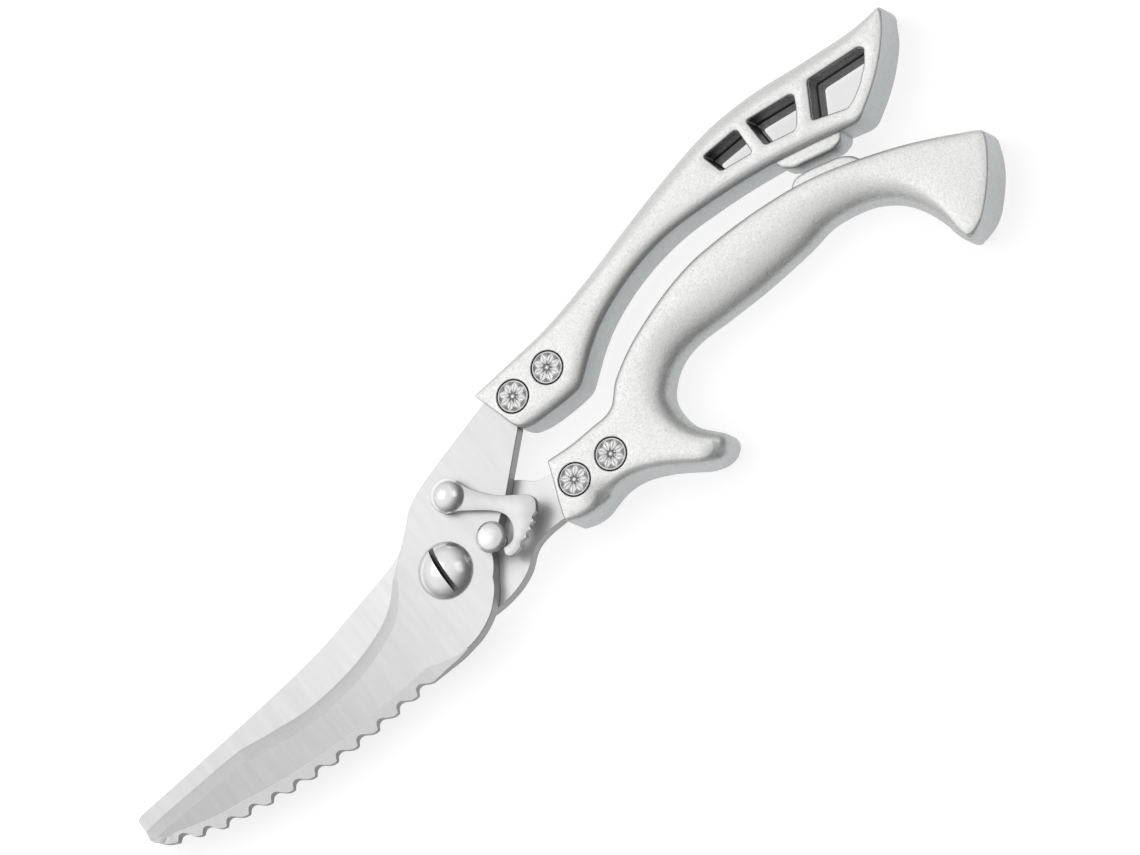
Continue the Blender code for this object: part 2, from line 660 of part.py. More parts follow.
def latch_lever():
    """Flat hook, with its origin on the rivet; at rest its lip is just clear of the stud's path."""
    lip = arc((0, 0), LIP_RADIUS, -23.2, -29.0, 3)
    foot = [(14.65, -8.95), (15.2, -9.5), (16.2, -9.75), (17.4, -9.72)]
    teeth = lever_teeth([(18.6, -9.5), (21.2, -8.85), (23.35, -8.05), (25.1, -6.95), (26.9, -5.4)], 0.7)
    side = [(26.9, -5.4), (28.35, -3.5), (28.55, -2.4), (28.3, -1.4), (26.3, 0.7)]
    top = [(24.4, 2.3), (22.1, 4.2), (19.1, 8.0), (17.1, 11.6), (16.2, 14.6)]
    eye = arc(LATCH_AT, LATCH_EYE_RADIUS, 20, 245, 14)
    hook = [
        (12.3, 8.0), (17.3, 3.6), (19.3, 1.4), (20.4, -0.6), (20.6, -2.2), (20.2, -4.1), (19.2, -5.7),
    ]
    hook += [(18.0, -6.7), (16.8, -6.95), (15.7, -6.7)]
    outline = joined(foot, teeth, through(side + top, 2), eye, through(hook, 2), lip)
    local = [(x - LATCH_AT[0], y - LATCH_AT[1]) for x, y in outline]
    made = prism("latch_lever", local, LEVER_BACK, LEVER_FRONT, "blade_steel")
    made.location = (LATCH_AT[0] * MM, LATCH_AT[1] * MM, 0)
    cut_round(made, "cut_lever_eye", LATCH_AT, LATCH_BORE_RADIUS, LEVER_BACK - 1, LEVER_FRONT + 1)


clear_scene()
front_blade()
rear_blade()
front_handle()
rear_handle()
for rivet_name in RIVETS:
    cutlers_rivet(rivet_name)
pivot_screw()
pivot_nut_and_washer()
torsion_spring()
latch_stud()
latch_rivet()
latch_lever()
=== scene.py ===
"""Looks of the poultry shears, drawn in millimetres in the part's frame and turned into metres.

The handles, blades, lever, screw, stud and rivets are finer bodies that replace the plain CAD
nodes. The nut, the washers and the spring stay CAD nodes with better materials.
"""
import math

import bmesh
import bpy
import numpy as np
from mathutils import Matrix, Vector
from mathutils.geometry import delaunay_2d_cdt


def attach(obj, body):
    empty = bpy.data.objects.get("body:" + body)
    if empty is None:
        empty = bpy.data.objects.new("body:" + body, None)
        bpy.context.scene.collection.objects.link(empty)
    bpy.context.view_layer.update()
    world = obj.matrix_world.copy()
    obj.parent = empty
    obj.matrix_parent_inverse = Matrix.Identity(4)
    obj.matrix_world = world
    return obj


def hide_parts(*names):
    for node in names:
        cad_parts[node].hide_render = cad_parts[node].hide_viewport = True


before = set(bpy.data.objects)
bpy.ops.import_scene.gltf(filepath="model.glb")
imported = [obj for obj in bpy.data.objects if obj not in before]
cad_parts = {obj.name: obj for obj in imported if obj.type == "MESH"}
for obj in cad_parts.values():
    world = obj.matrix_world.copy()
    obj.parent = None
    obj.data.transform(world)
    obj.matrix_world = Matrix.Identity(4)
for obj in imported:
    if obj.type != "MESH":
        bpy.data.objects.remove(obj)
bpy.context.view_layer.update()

MM = 0.001

# Heights, the same as the CAD part's
HANDLE_TOP = 12.5
REAR_BACK, REAR_FRONT = 2.8, 6.3
FRONT_BACK, FRONT_FRONT = 6.5, 10.0
LEVER_BACK, LEVER_FRONT = 10.5, 12.3

# Places in plan
PIVOT = (0, 0)
STUD = (14.4, -2.7)
LATCH = (12.1, 13.1)
RIVETS = {
    "front_rivet_inner": ((40.0, 20.6), "front half", 0.1),
    "front_rivet_outer": ((51.0, 20.1), "front half", 0.3),
    "rear_rivet_inner": ((39.2, -6.2), "rear half", 0.0),
    "rear_rivet_outer": ((50.1, -7.7), "rear half", 0.2),
}
SEAT_RADIUS = 4.25
SEAT_CHAMFER = 0.15
SEAT_DEPTH = 1.3
PIVOT_HOLE_RADIUS = 3.08


# Plane curves

SAME_POINT = 0.02
NARROWING = 0.9
NARROWING_ROUNDS = 60


def through(points, steps=8):
    """Smooth curve through points of any dimension, both ends included."""
    rows = [Vector(p) for p in points]
    padded = [2 * rows[0] - rows[1], *rows, 2 * rows[-1] - rows[-2]]
    curve = []
    for a, b, c, d in zip(padded, padded[1:], padded[2:], padded[3:]):
        before = max((b - a).length, 0.01) ** 0.5
        along = max((c - b).length, 0.01) ** 0.5
        after = max((d - c).length, 0.01) ** 0.5
        slope_b = ((b - a) / before - (c - a) / (before + along) + (c - b) / along) * along
        slope_c = ((c - b) / along - (d - b) / (along + after) + (d - c) / after) * along
        for step in range(steps):
            t = step / steps
            curve.append(
                (2 * t**3 - 3 * t**2 + 1) * b
                + (t**3 - 2 * t**2 + t) * slope_b
                + (3 * t**2 - 2 * t**3) * c
                + (t**3 - t**2) * slope_c
            )
    curve.append(rows[-1])
    return [tuple(p) for p in curve]


def arc(centre, radius, start, end, steps):
    points = []
    for step in range(steps + 1):
        angle = math.radians(start + (end - start) * step / steps)
        points.append((centre[0] + radius * math.cos(angle), centre[1] + radius * math.sin(angle)))
    return points


def circle(centre, radius, steps=48):
    return arc(centre, radius, 0, 360, steps)[:-1]


def joined(*stretches):
    """One outline from stretches; points closer than SAME_POINT are kept once."""
    points = []
    for stretch in stretches:
        for point in stretch:
            if not points or math.dist(point[:2], points[-1][:2]) > SAME_POINT:
                points.append(tuple(point))
    if math.dist(points[0][:2], points[-1][:2]) <= SAME_POINT:
        points.pop()
    return points


def shortened(points, length):
    """The polyline without its last stretch of that length."""
    points = list(points)
    while len(points) > 2 and math.dist(points[-2][:2], points[-1][:2]) < length:
        length -= math.dist(points[-2][:2], points[-1][:2])
        points.pop()
    a, b = Vector(points[-2]), Vector(points[-1])
    share = length / max(math.dist(a[:2], b[:2]), 1e-6)
    points[-1] = tuple(b.lerp(a, min(share, 0.95)))
    return points


def rounded(stretches, radii, steps=6):
    """Closed outline from stretches that meet at corners, each corner rounded."""
    count = len(stretches)
    pieces = []
    for k, stretch in enumerate(stretches):
        piece = shortened(stretch, radii[k])
        pieces.append(shortened(piece[::-1], radii[k - 1])[::-1])
    outline = []
    for k, piece in enumerate(pieces):
        outline += piece
        corner = (Vector(stretches[k][-1]) + Vector(stretches[(k + 1) % count][0])) / 2
        a, b = Vector(piece[-1]), Vector(pieces[(k + 1) % count][0])
        for step in range(1, steps):
            t = step / steps
            outline.append(tuple((1 - t) ** 2 * a + 2 * t * (1 - t) * corner + t**2 * b))
    return joined(outline)


def rounded_polygon(corners, radius):
    sides = [[a, b] for a, b in zip(corners, corners[1:] + corners[:1])]
    fine = [[tuple(Vector(a).lerp(Vector(b), i / 6)) for i in range(7)] for a, b in sides]
    return rounded(fine, [radius] * len(sides), 5)


def inset(points, distances):
    """Points moved into a counter-clockwise outline, each by its own distance."""
    moved = []
    for index, (point, distance) in enumerate(zip(points, distances)):
        before = Vector(points[index - 1][:2])
        after = Vector(points[(index + 1) % len(points)][:2])
        along = (after - before).normalized()
        moved.append((point[0] - along.y * distance, point[1] + along.x * distance))
    return moved


def loops_over(ring):
    """Pairs of side numbers where a closed ring crosses itself."""
    a = np.array(ring)
    b = np.roll(a, -1, axis=0)

    def side(p, q, r):
        along, off = q - p, r - p
        return along[..., 0] * off[..., 1] - along[..., 1] * off[..., 0]

    a1, b1, a2, b2 = a[:, None], b[:, None], a[None], b[None]
    cross = (side(a1, b1, a2) * side(a1, b1, b2) < 0) & (side(a2, b2, a1) * side(a2, b2, b1) < 0)
    return [(i, j) for i, j in np.argwhere(cross) if i < j]


def narrowed(outline):
    """The outline with its round-over widths cut down where the inner ring would cross itself."""
    count = len(outline)
    widths = np.array([p[2] for p in outline])
    for _ in range(NARROWING_ROUNDS):
        crossed = loops_over(inset(outline, widths))
        if not crossed:
            break
        for i, j in crossed:
            span = range(i - 1, j + 3) if j - i < count / 2 else range(j - 1, i + count + 3)
            for k in span:
                widths[k % count] *= NARROWING
    return [(p[0], p[1], width, p[3]) for p, width in zip(outline, widths)]


# Meshes


def finish_mesh(name, bm, body, replaced, materials, sharp=32):
    bmesh.ops.recalc_face_normals(bm, faces=bm.faces)
    bmesh.ops.scale(bm, vec=(MM, MM, MM), verts=bm.verts)
    mesh = bpy.data.meshes.new(name)
    bm.to_mesh(mesh)
    bm.free()
    mesh.shade_smooth()
    mesh.set_sharp_from_angle(angle=math.radians(sharp))
    piece = bpy.data.objects.new(name, mesh)
    bpy.context.collection.objects.link(piece)
    for material in materials:
        mesh.materials.append(material)
    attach(piece, body)
    if replaced:
        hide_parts(*replaced)
    return piece


def bridge(bm, lower, upper, material=0):
    for i in range(len(lower)):
        j = (i + 1) % len(lower)
        bm.faces.new((lower[i], lower[j], upper[j], upper[i])).material_index = material


def wall(bm, rings, material=0):
    """Band of faces through rings of points; returns the rings' vertices."""
    rows = [[bm.verts.new(point) for point in ring] for ring in rings]
    for lower, upper in zip(rows, rows[1:]):
        bridge(bm, lower, upper, material)
    return rows


def at_height(points, z):
    return [(p[0], p[1], z) for p in points]


def crossings(points, starts, ends):
    """True where a point is inside the loops, by the even-odd rule."""
    x, y = points[:, :1], points[:, 1:]
    straddles = (starts[:, 1] > y) != (ends[:, 1] > y)
    rise = np.where(ends[:, 1] == starts[:, 1], 1e-9, ends[:, 1] - starts[:, 1])
    meets = starts[:, 0] + (y - starts[:, 1]) / rise * (ends[:, 0] - starts[:, 0])
    return ((straddles & (x < meets)).sum(axis=1) % 2) == 1


# Shares of a cap's spacing: between its rows of points, and from its edges to the nearest point
ROW_SHARE = 0.87
EDGE_SHARE = 0.6


def cap(bm, loops, facing, spacing=0.0, crown=0.0, reach=6.0, material=0):
    """Triangles between the first loop of vertices and the hole loops, crowned towards the middle."""
    corners = [v for loop in loops for v in loop]
    flat = np.array([(v.co.x, v.co.y) for v in corners])
    level = loops[0][0].co.z
    edges = []
    for loop in loops:
        start = len(edges)
        edges += [(start + i, start + (i + 1) % len(loop)) for i in range(len(loop))]
    starts, ends = flat[[e[0] for e in edges]], flat[[e[1] for e in edges]]
    if spacing:
        low, high = flat.min(0), flat.max(0)
        rows = []
        for k, y in enumerate(np.arange(low[1], high[1], spacing * ROW_SHARE)):
            rows += [(x + (k % 2) * spacing / 2, y) for x in np.arange(low[0], high[0], spacing)]
        grid = np.array(rows)
        grid = grid[crossings(grid, starts, ends)]
        gaps = np.sqrt(((grid[:, None, :] - flat[None, :, :]) ** 2).sum(axis=2)).min(axis=1)
        keep = gaps > spacing * EDGE_SHARE
        for (x, y), gap in zip(grid[keep], gaps[keep]):
            rise = crown * (1 - math.exp(-gap / reach))
            corners.append(bm.verts.new((x, y, level + facing * rise)))
    spots = [Vector((v.co.x, v.co.y)) for v in corners]
    found, _, triangles, origins, _, _ = delaunay_2d_cdt(spots, edges, [], 0, 1e-6)
    middles = np.array([[sum(found[i][k] for i in t) / 3 for k in (0, 1)] for t in triangles])
    for triangle, inside in zip(triangles, crossings(middles, starts, ends)):
        if inside:
            chosen = [corners[origins[i][0]] for i in triangle]
            if facing < 0:
                chosen.reverse()
            bm.faces.new(chosen).material_index = material


def turned(bm, centre, profile, steps=64, material=0):
    """Closed body turned about a vertical axis; the profile of (radius, z) runs upwards."""
    rings = []
    for radius, z in profile:
        if radius == 0:
            rings.append([bm.verts.new((centre[0], centre[1], z))])
        else:
            rings.append([bm.verts.new((x, y, z)) for x, y in circle(centre, radius, steps)])
    for lower, upper in zip(rings, rings[1:]):
        for i in range(steps):
            j = (i + 1) % steps
            ring = [lower[i % len(lower)], lower[j % len(lower)]]
            ring += [upper[j % len(upper)], upper[i % len(upper)]]
            face = bm.faces.new([v for k, v in enumerate(ring) if v not in ring[:k]])
            face.material_index = material


def cut(target, outline, bottom, top, material=None):
    """Cuts a prism out of a finished piece."""
    bm = bmesh.new()
    rows = wall(bm, [at_height(outline, bottom), at_height(outline, top)])
    bm.faces.new(list(reversed(rows[0])))
    bm.faces.new(rows[1])
    bmesh.ops.scale(bm, vec=(MM, MM, MM), verts=bm.verts)
    mesh = bpy.data.meshes.new("cutter")
    bm.to_mesh(mesh)
    bm.free()
    if material:
        mesh.materials.append(material)
    cutter = bpy.data.objects.new("cutter", mesh)
    bpy.context.collection.objects.link(cutter)
    modifier = target.modifiers.new("cut", "BOOLEAN")
    modifier.operation = "DIFFERENCE"
    modifier.solver = "EXACT"
    modifier.object = cutter
    modifier.material_mode = "TRANSFER"
    bpy.context.view_layer.update()
    evaluated = target.evaluated_get(bpy.context.evaluated_depsgraph_get())
    shaped = bpy.data.meshes.new_from_object(evaluated)
    target.modifiers.clear()
    target.data = shaped
    bpy.data.objects.remove(cutter)


# Materials


def nodes_of(name, colour, roughness, metallic=1.0):
    material = bpy.data.materials.new(name)
    material.use_nodes = True
    tree = material.node_tree
    shader = tree.nodes["Principled BSDF"]
    shader.inputs["Base Color"].default_value = (*colour, 1)
    shader.inputs["Roughness"].default_value = roughness
    shader.inputs["Metallic"].default_value = metallic
    return material, tree, shader


def noise(tree, scale, detail=3.0, stretch=(1, 1, 1), turn=0.0):
    place = tree.nodes.new("ShaderNodeTexCoord")
    mapping = tree.nodes.new("ShaderNodeMapping")
    mapping.inputs["Scale"].default_value = stretch
    mapping.inputs["Rotation"].default_value = (0, 0, turn)
    texture = tree.nodes.new("ShaderNodeTexNoise")
    texture.inputs["Scale"].default_value = scale
    texture.inputs["Detail"].default_value = detail
    tree.links.new(place.outputs["Object"], mapping.inputs["Vector"])
    tree.links.new(mapping.outputs["Vector"], texture.inputs["Vector"])
    return texture.outputs["Fac"]


def ramp(tree, value, stops):
    """Colour ramp from (position, grey or colour) stops."""
    node = tree.nodes.new("ShaderNodeValToRGB")
    elements = node.color_ramp.elements
    while len(elements) < len(stops):
        elements.new(0.5)
    for element, (position, colour) in zip(elements, stops):
        element.position = position
        rgb = (colour, colour, colour) if isinstance(colour, float) else colour
        element.color = (*rgb, 1)
    tree.links.new(value, node.inputs["Fac"])
    return node.outputs["Color"]


def multiply(tree, a, b):
    node = tree.nodes.new("ShaderNodeMix")
    node.data_type = "RGBA"
    node.blend_type = "MULTIPLY"
    node.inputs["Factor"].default_value = 1.0
    tree.links.new(a, node.inputs["A"])
    tree.links.new(b, node.inputs["B"])
    return node.outputs["Result"]


def bump(tree, shader, height, distance, strength=1.0, below=None):
    node = tree.nodes.new("ShaderNodeBump")
    node.inputs["Strength"].default_value = strength
    node.inputs["Distance"].default_value = distance
    tree.links.new(height, node.inputs["Height"])
    if below is not None:
        tree.links.new(below, node.inputs["Normal"])
    tree.links.new(node.outputs["Normal"], shader.inputs["Normal"])
    return node.outputs["Normal"]


def painted_wall_shade_mask(tree):
    """Mask for the painted wall shade: 1 on faces that lie flat, 0 on upright walls, from the body's own
    normal.
    """
    place = tree.nodes.new("ShaderNodeTexCoord")
    split = tree.nodes.new("ShaderNodeSeparateXYZ")
    size = tree.nodes.new("ShaderNodeMath")
    size.operation = "ABSOLUTE"
    tree.links.new(place.outputs["Normal"], split.inputs["Vector"])
    tree.links.new(split.outputs["Z"], size.inputs[0])
    return size.outputs["Value"]


def cast_aluminium(name, face, side):
    """Fine blasted casting with sandy grain; its upright walls get a darker colour than its faces, which
    is painted shade.
    """
    material, tree, shader = nodes_of(name, (0.8, 0.8, 0.8), 0.42)
    # darker side colour on upright walls: painted shade
    tone = ramp(tree, painted_wall_shade_mask(tree), [(0.0, side), (0.35, side), (0.93, face)])
    speckle = ramp(tree, noise(tree, 2600, 2), [(0.3, 0.82), (0.48, 0.97), (0.7, 1.0)])
    cloud = ramp(tree, noise(tree, 90, 3), [(0.35, 0.965), (0.65, 1.0)])
    colour = multiply(tree, multiply(tree, tone, speckle), cloud)
    tree.links.new(colour, shader.inputs["Base Color"])
    rough = ramp(tree, noise(tree, 1500, 2), [(0.3, 0.36), (0.7, 0.5)])
    tree.links.new(rough, shader.inputs["Roughness"])
    coarse = bump(tree, shader, noise(tree, 900, 3), 0.00008, 0.6)
    bump(tree, shader, noise(tree, 2600, 2), 0.00006, 0.8, coarse)
    return material


# Metres along the blades, between which the painted shade darkens their colour
TIP_X = -0.1
PIVOT_END_X = 0.01


def painted_shade_along_blade(tree, painted_tip_shade):
    """Painted shade: a colour that darkens from the pivot towards the blade tips."""
    place = tree.nodes.new("ShaderNodeTexCoord")
    split = tree.nodes.new("ShaderNodeSeparateXYZ")
    shift = tree.nodes.new("ShaderNodeMapRange")
    shift.inputs["From Min"].default_value = TIP_X
    shift.inputs["From Max"].default_value = PIVOT_END_X
    tree.links.new(place.outputs["Object"], split.inputs["Vector"])
    tree.links.new(split.outputs["X"], shift.inputs["Value"])
    middle_tone = 0.68 * painted_tip_shade + 0.32
    return ramp(tree, shift.outputs["Result"], [(0.0, painted_tip_shade), (0.5, middle_tone), (0.9, 1.0)])


def satin_steel(name, face, side, roughness=0.34, lines=0.0, turn=0.0, painted_tip_shade=1.0, metallic=1.0):
    """Satin steel with faint grinding lines; the lines run across the turned X direction. Upright walls
    get the darker side colour, which is painted shade, and a tip shade below 1 adds painted shade towards
    the blade tips.
    """
    material, tree, shader = nodes_of(name, (0.8, 0.8, 0.8), roughness, metallic)
    # darker side colour on upright walls: painted shade
    tone = ramp(tree, painted_wall_shade_mask(tree), [(0.0, side), (0.4, side), (0.9, face)])
    streaks = noise(tree, 900, 3, (1, 0.06, 1), turn)
    streak = ramp(tree, streaks, [(0.3, 1 - 0.025 - 0.05 * lines), (0.7, 1.0)])
    cloud = ramp(tree, noise(tree, 60, 3), [(0.35, 0.975), (0.65, 1.0)])
    colour = multiply(tree, multiply(tree, tone, streak), cloud)
    # painted shade that darkens the colour towards the blade tips
    if painted_tip_shade < 1:
        colour = multiply(tree, colour, painted_shade_along_blade(tree, painted_tip_shade))
    tree.links.new(colour, shader.inputs["Base Color"])
    scratches = noise(tree, 700, 3, (1, 0.08, 1), turn)
    rough = ramp(tree, scratches, [(0.3, roughness - 0.02), (0.7, roughness + 0.03)])
    tree.links.new(rough, shader.inputs["Roughness"])
    bump(tree, shader, noise(tree, 1500, 2, (1, 0.05, 1), turn), 0.00001, 0.08 + lines)
    return material


def polished_steel(name, tone, roughness):
    material, tree, shader = nodes_of(name, (tone, tone, tone), roughness)
    wear = ramp(tree, noise(tree, 500, 4), [(0.35, roughness - 0.03), (0.7, roughness + 0.08)])
    tree.links.new(wear, shader.inputs["Roughness"])
    stain = ramp(tree, noise(tree, 220, 3), [(0.3, tone * 0.9), (0.7, tone)])
    tree.links.new(stain, shader.inputs["Base Color"])
    return material


# The casting's walls get the darker side colour as painted shade
CAST = cast_aluminium("cast_aluminium", (0.82, 0.825, 0.805), (0.53, 0.545, 0.55))
# Near-black window walls: painted shade inside the windows
WINDOW_PAINTED_SHADE = cast_aluminium("cast_window_painted_shade", 0.16, 0.09)
# Blade walls and blade tips get darker colours as painted shade
REAR_BLADE = satin_steel("rear_blade_steel", 0.74, 0.34, 0.40, turn=math.radians(10), painted_tip_shade=0.80)
BLADE = satin_steel("blade_steel", 0.68, 0.34, 0.40, turn=math.radians(10), painted_tip_shade=0.62)
BEVEL = satin_steel("ground_bevel", 0.76, 0.76, 0.34, 0.4, math.radians(-15), 0.9)
# The tooth band is a white non-metal: a painted sheen in place of the bright reflection of ground steel
TOOTH_GRIND_PAINTED_SHEEN = satin_steel("ground_teeth_painted_sheen", 1.0, 1.0, 0.45, 0.5, math.radians(20), metallic=0.0)
POLISHED = polished_steel("polished_steel", 0.94, 0.20)
ROSETTE = polished_steel("rosette_steel", 0.80, 0.26)
ROSETTE_FLOOR = polished_steel("rosette_floor", 0.22, 0.4)
STUD_FACE = polished_steel("stud_steel", 0.72, 0.27)
# Near-black rivet seats: painted shade in the gap round the rivet heads
RIVET_SEAT_PAINTED_SHADE = nodes_of("rivet_gap_painted_shade", (0.03, 0.03, 0.03), 0.6)[0]
SPRING = polished_steel("spring_steel", 0.35, 0.3)
# Dark screw slot: painted shade inside the slot
SLOT_PAINTED_SHADE = polished_steel("screw_slot_painted_shade", 0.12, 0.4)


# Handles: an outline point is (x, y, round-over width, round-over depth)

FRONT_HANDLE = [
    [
        (35.2, 17.0, 0.5, 0.5), (35.9, 14.7, 0.6, 0.8), (37.1, 12.9, 1.2, 1.6), (39.6, 12.0, 1.8, 2),
        (45, 11.4, 2, 2), (50.5, 11.0, 2.2, 2.2), (54.2, 11.3, 2.4, 2.2), (57.4, 13.3, 2.4, 2.2),
        (62.5, 16.8, 2.2, 2.2), (69, 20.2, 2.2, 2.2), (80, 23.5, 2.2, 2.2), (93, 24.9, 2, 2),
        (107, 23.5, 2, 2), (122, 20.6, 2, 2), (136, 16.6, 2, 2), (148.4, 12.3, 1.6, 1.6),
    ],
    [
        (148.4, 12.3, 0.7, 0.7), (151.5, 14.0, 0.6, 0.6), (155.3, 16.1, 0.6, 0.6),
        (159.8, 19.2, 0.6, 0.6), (164.3, 23.2, 0.6, 0.6), (167.8, 27.2, 0.6, 0.6),
        (170.4, 31.3, 0.9, 1.0),
    ],
    [
        (170.4, 31.3, 0.9, 1.0), (166, 31.3, 1.6, 1.6), (160, 31.9, 2.6, 2.6), (145, 34.7, 3.6, 3.2),
        (131.5, 37.4, 3.8, 3.4), (118, 38.4, 4, 3.5), (104, 37.0, 4, 3.5), (88, 34.2, 3.8, 3.2),
        (71, 30.7, 3, 2.8), (56, 28.4, 2, 2), (44, 27.9, 1.2, 1.2), (36, 27.7, 0.8, 0.8),
        (32.6, 27.6, 0.5, 0.5),
    ],
    [(32.6, 27.6, 0.5, 0.5), (35.2, 17.0, 0.5, 0.5)],
]

REAR_HANDLE = [
    [
        (30.8, -12.7, 1, 1.2), (35, -14.8, 1.6, 2), (38.5, -15.6, 2.2, 3), (41.5, -15.2, 2.4, 3.2),
        (45, -14.6, 2.2, 3), (48.5, -14.8, 2, 2.8), (52, -15.9, 2, 2.8), (57.2, -18.9, 2, 3),
        (61.5, -22.2, 2, 3), (65.5, -25.4, 1.9, 3.2), (69.2, -27.0, 1.9, 3.6), (72.2, -26.9, 2.1, 4),
        (74.6, -25.2, 2.2, 4.2), (74.9, -23.2, 2.4, 4.2), (73.2, -20.6, 2.8, 4.4),
        (70.8, -17.3, 3.0, 4.6), (69.2, -13.7, 3.4, 4.8), (68.8, -9.5, 4.0, 5), (69.6, -6.0, 4.8, 5.4),
        (72.4, -3.0, 6, 5.8), (77, -0.5, 7.5, 6), (82.8, 0.3, 8.5, 6), (92, -0.6, 9, 6),
        (104.8, -1.6, 9, 6), (118.4, -1.7, 9, 6), (125.5, -1.2, 8.5, 6), (130.5, -2.1, 8, 6),
        (137.2, -4.6, 7, 6), (142.9, -9.3, 5.6, 5.8), (146.2, -14.8, 4.4, 5.4), (148.3, -21.0, 3, 4.8),
        (149.3, -26.0, 2, 3.6), (150.6, -29.0, 1.6, 2.6), (152.4, -29.5, 1.2, 1.8),
        (154.6, -28.8, 0.8, 1), (157.2, -27.4, 0.6, 0.6), (160.8, -24.4, 0.6, 0.6),
        (164.3, -20.9, 0.6, 0.6), (167.2, -17.3, 0.6, 0.6), (169.2, -14.4, 0.6, 0.6),
        (170.8, -11.2, 0.7, 0.7),
    ],
    [
        (170.8, -11.2, 0.8, 0.8), (169, -9.7, 1, 1), (165.6, -7.4, 1.2, 1.2), (160.8, -4.3, 1.2, 1.2),
        (152.9, 0.3, 1.2, 1.2), (145.7, 3.9, 1.2, 1.2), (138, 7.3, 1.2, 1.2), (131, 9.9, 1.2, 1.2),
        (125.5, 11.5, 1.2, 1.2), (119.5, 12.8, 1.2, 1.2), (113.7, 13.8, 1.2, 1.2),
        (107.7, 14.6, 1.4, 1.4), (101.5, 15.1, 1.4, 1.4), (95, 15.3, 1.4, 1.4), (87.7, 14.6, 1.4, 1.4),
        (79.6, 12.9, 1.4, 1.4), (70.4, 10.0, 1.2, 1.2), (64.9, 7.5, 1.2, 1.2), (61.4, 5.4, 1.2, 1.2),
        (59.2, 3.3, 1.2, 1.2), (57.4, 1.7, 1.2, 1.2), (54.9, 0.9, 1.2, 1.2), (50.2, 1.0, 1, 1),
        (43.7, 1.3, 1, 1), (36.8, 2.3, 0.8, 0.8),
    ],
    [(36.8, 2.3, 0.5, 0.5), (34.8, -2.8, 0.5, 0.5), (32.8, -7.5, 0.5, 0.5), (30.8, -12.7, 0.5, 0.5)],
]

WINDOWS = [
    [(113.2, 32.9), (123.2, 32.4), (123.5, 31.8), (123.1, 25.4), (122.6, 25.4), (114.5, 27.2)],
    [
        (126.8, 32.2), (139.0, 29.6), (139.7, 28.8), (138.2, 26.0), (135.5, 22.4), (134.4, 22.1),
        (126.9, 24.4),
    ],
    [
        (144.7, 29.2), (159.4, 26.6), (160.3, 25.5), (157.9, 22.4), (154.1, 19.4), (150.6, 17.6),
        (148.2, 16.9), (139.6, 20.8),
    ],
]

FRONT_TANG = [
    (22.8, 3.6), (31.6, 11.1), (35.4, 14.3), (37.0, 16.4), (57.5, 17.0), (58.6, 18.2), (58.6, 23.0),
    (57.5, 24.2), (36.5, 24.6), (32.5, 25.3),
]
REAR_TANG = [
    (29.5, -9.3), (31.8, -10.4), (57.0, -12.4), (58.3, -11.2), (58.3, -4.6), (57.0, -3.4), (37.4, -0.6),
    (35.2, 1.2), (33.6, 1.8),
]
FILLET_STEPS = 9

FRONT_LUG = [
    (124.4, 22.5), (126.0, 17.6), (128.4, 15.5), (131.0, 14.85), (139.0, 12.25), (142.0, 12.8),
    (144.5, 16.5), (138, 21.0),
]
REAR_LUG = [
    (124.0, 7.5), (138, 2.0), (143.0, 4.5), (141.4, 7.8), (139.0, 9.9), (131.0, 12.8), (127.2, 13.7),
    (124.6, 12.5),
]
LUG_BACK = 2.0
LUG_EDGE = 0.9
LUG_CORNER = 1.0

# A round-over turns through this many degrees, and more for each millimetre of its width
CREASE_ANGLE = 52
CREASE_PER_MM = 4
CREASE_WIDTH_LIMIT = 7

# The back edge at its most rounded corners
BACK_WIDTH = 2.6
BACK_DEPTH = 6.0

# Gaps between a tang and the slot cut for it
TANG_SIDE_GAP = 0.3
TANG_FACE_GAP = 0.2

# Windows: distance outwards and height, from the back face to just over the ridge halfway up.
# The first rings are the back edge's round-over, and the front edge repeats them.
WINDOW_CORNER = 0.7
WINDOW_RINGS = ((0.55, 0), (0.28, 0.12), (0.08, 0.4), (0, 0.9), (0, 5.9), (-0.3, 6.25), (0, 6.6))
WINDOW_EDGE_RINGS = 4


def round_over(outline, share):
    """Ring of the round-over: share 0 at the wall, 1 at the face, where a narrow one ends in a crease."""
    across = []
    drops = []
    for _, _, width, depth in outline:
        crease = math.radians(CREASE_ANGLE + CREASE_PER_MM * min(width, CREASE_WIDTH_LIMIT))
        across.append(width * (1 - math.cos(crease * share)) / (1 - math.cos(crease)))
        drops.append(depth * (1 - math.sin(crease * share) / math.sin(crease)))
    return [(x, y, drop) for (x, y), drop in zip(inset(outline, across), drops)]


def softened(outline, corners, reach=9.0):
    """The back edge, rounded more towards the given corners."""
    rows = []
    for x, y, width, depth in outline:
        nearest = min(math.dist((x, y), corner) for corner in corners)
        share = max(0.0, 1 - nearest / reach) ** 1.5
        wider = max(0.0, BACK_WIDTH - width) * share
        rows.append((x, y, width + wider, depth + (BACK_DEPTH - depth) * share))
    return rows


def dented(bm, dents):
    """Hollows in the front face from (x, y, radius, depth)."""
    for v in bm.verts:
        if v.co.z > HANDLE_TOP / 2:
            for x, y, radius, depth in dents:
                v.co.z -= depth * math.exp(-((math.dist((v.co.x, v.co.y), (x, y)) / radius) ** 2))


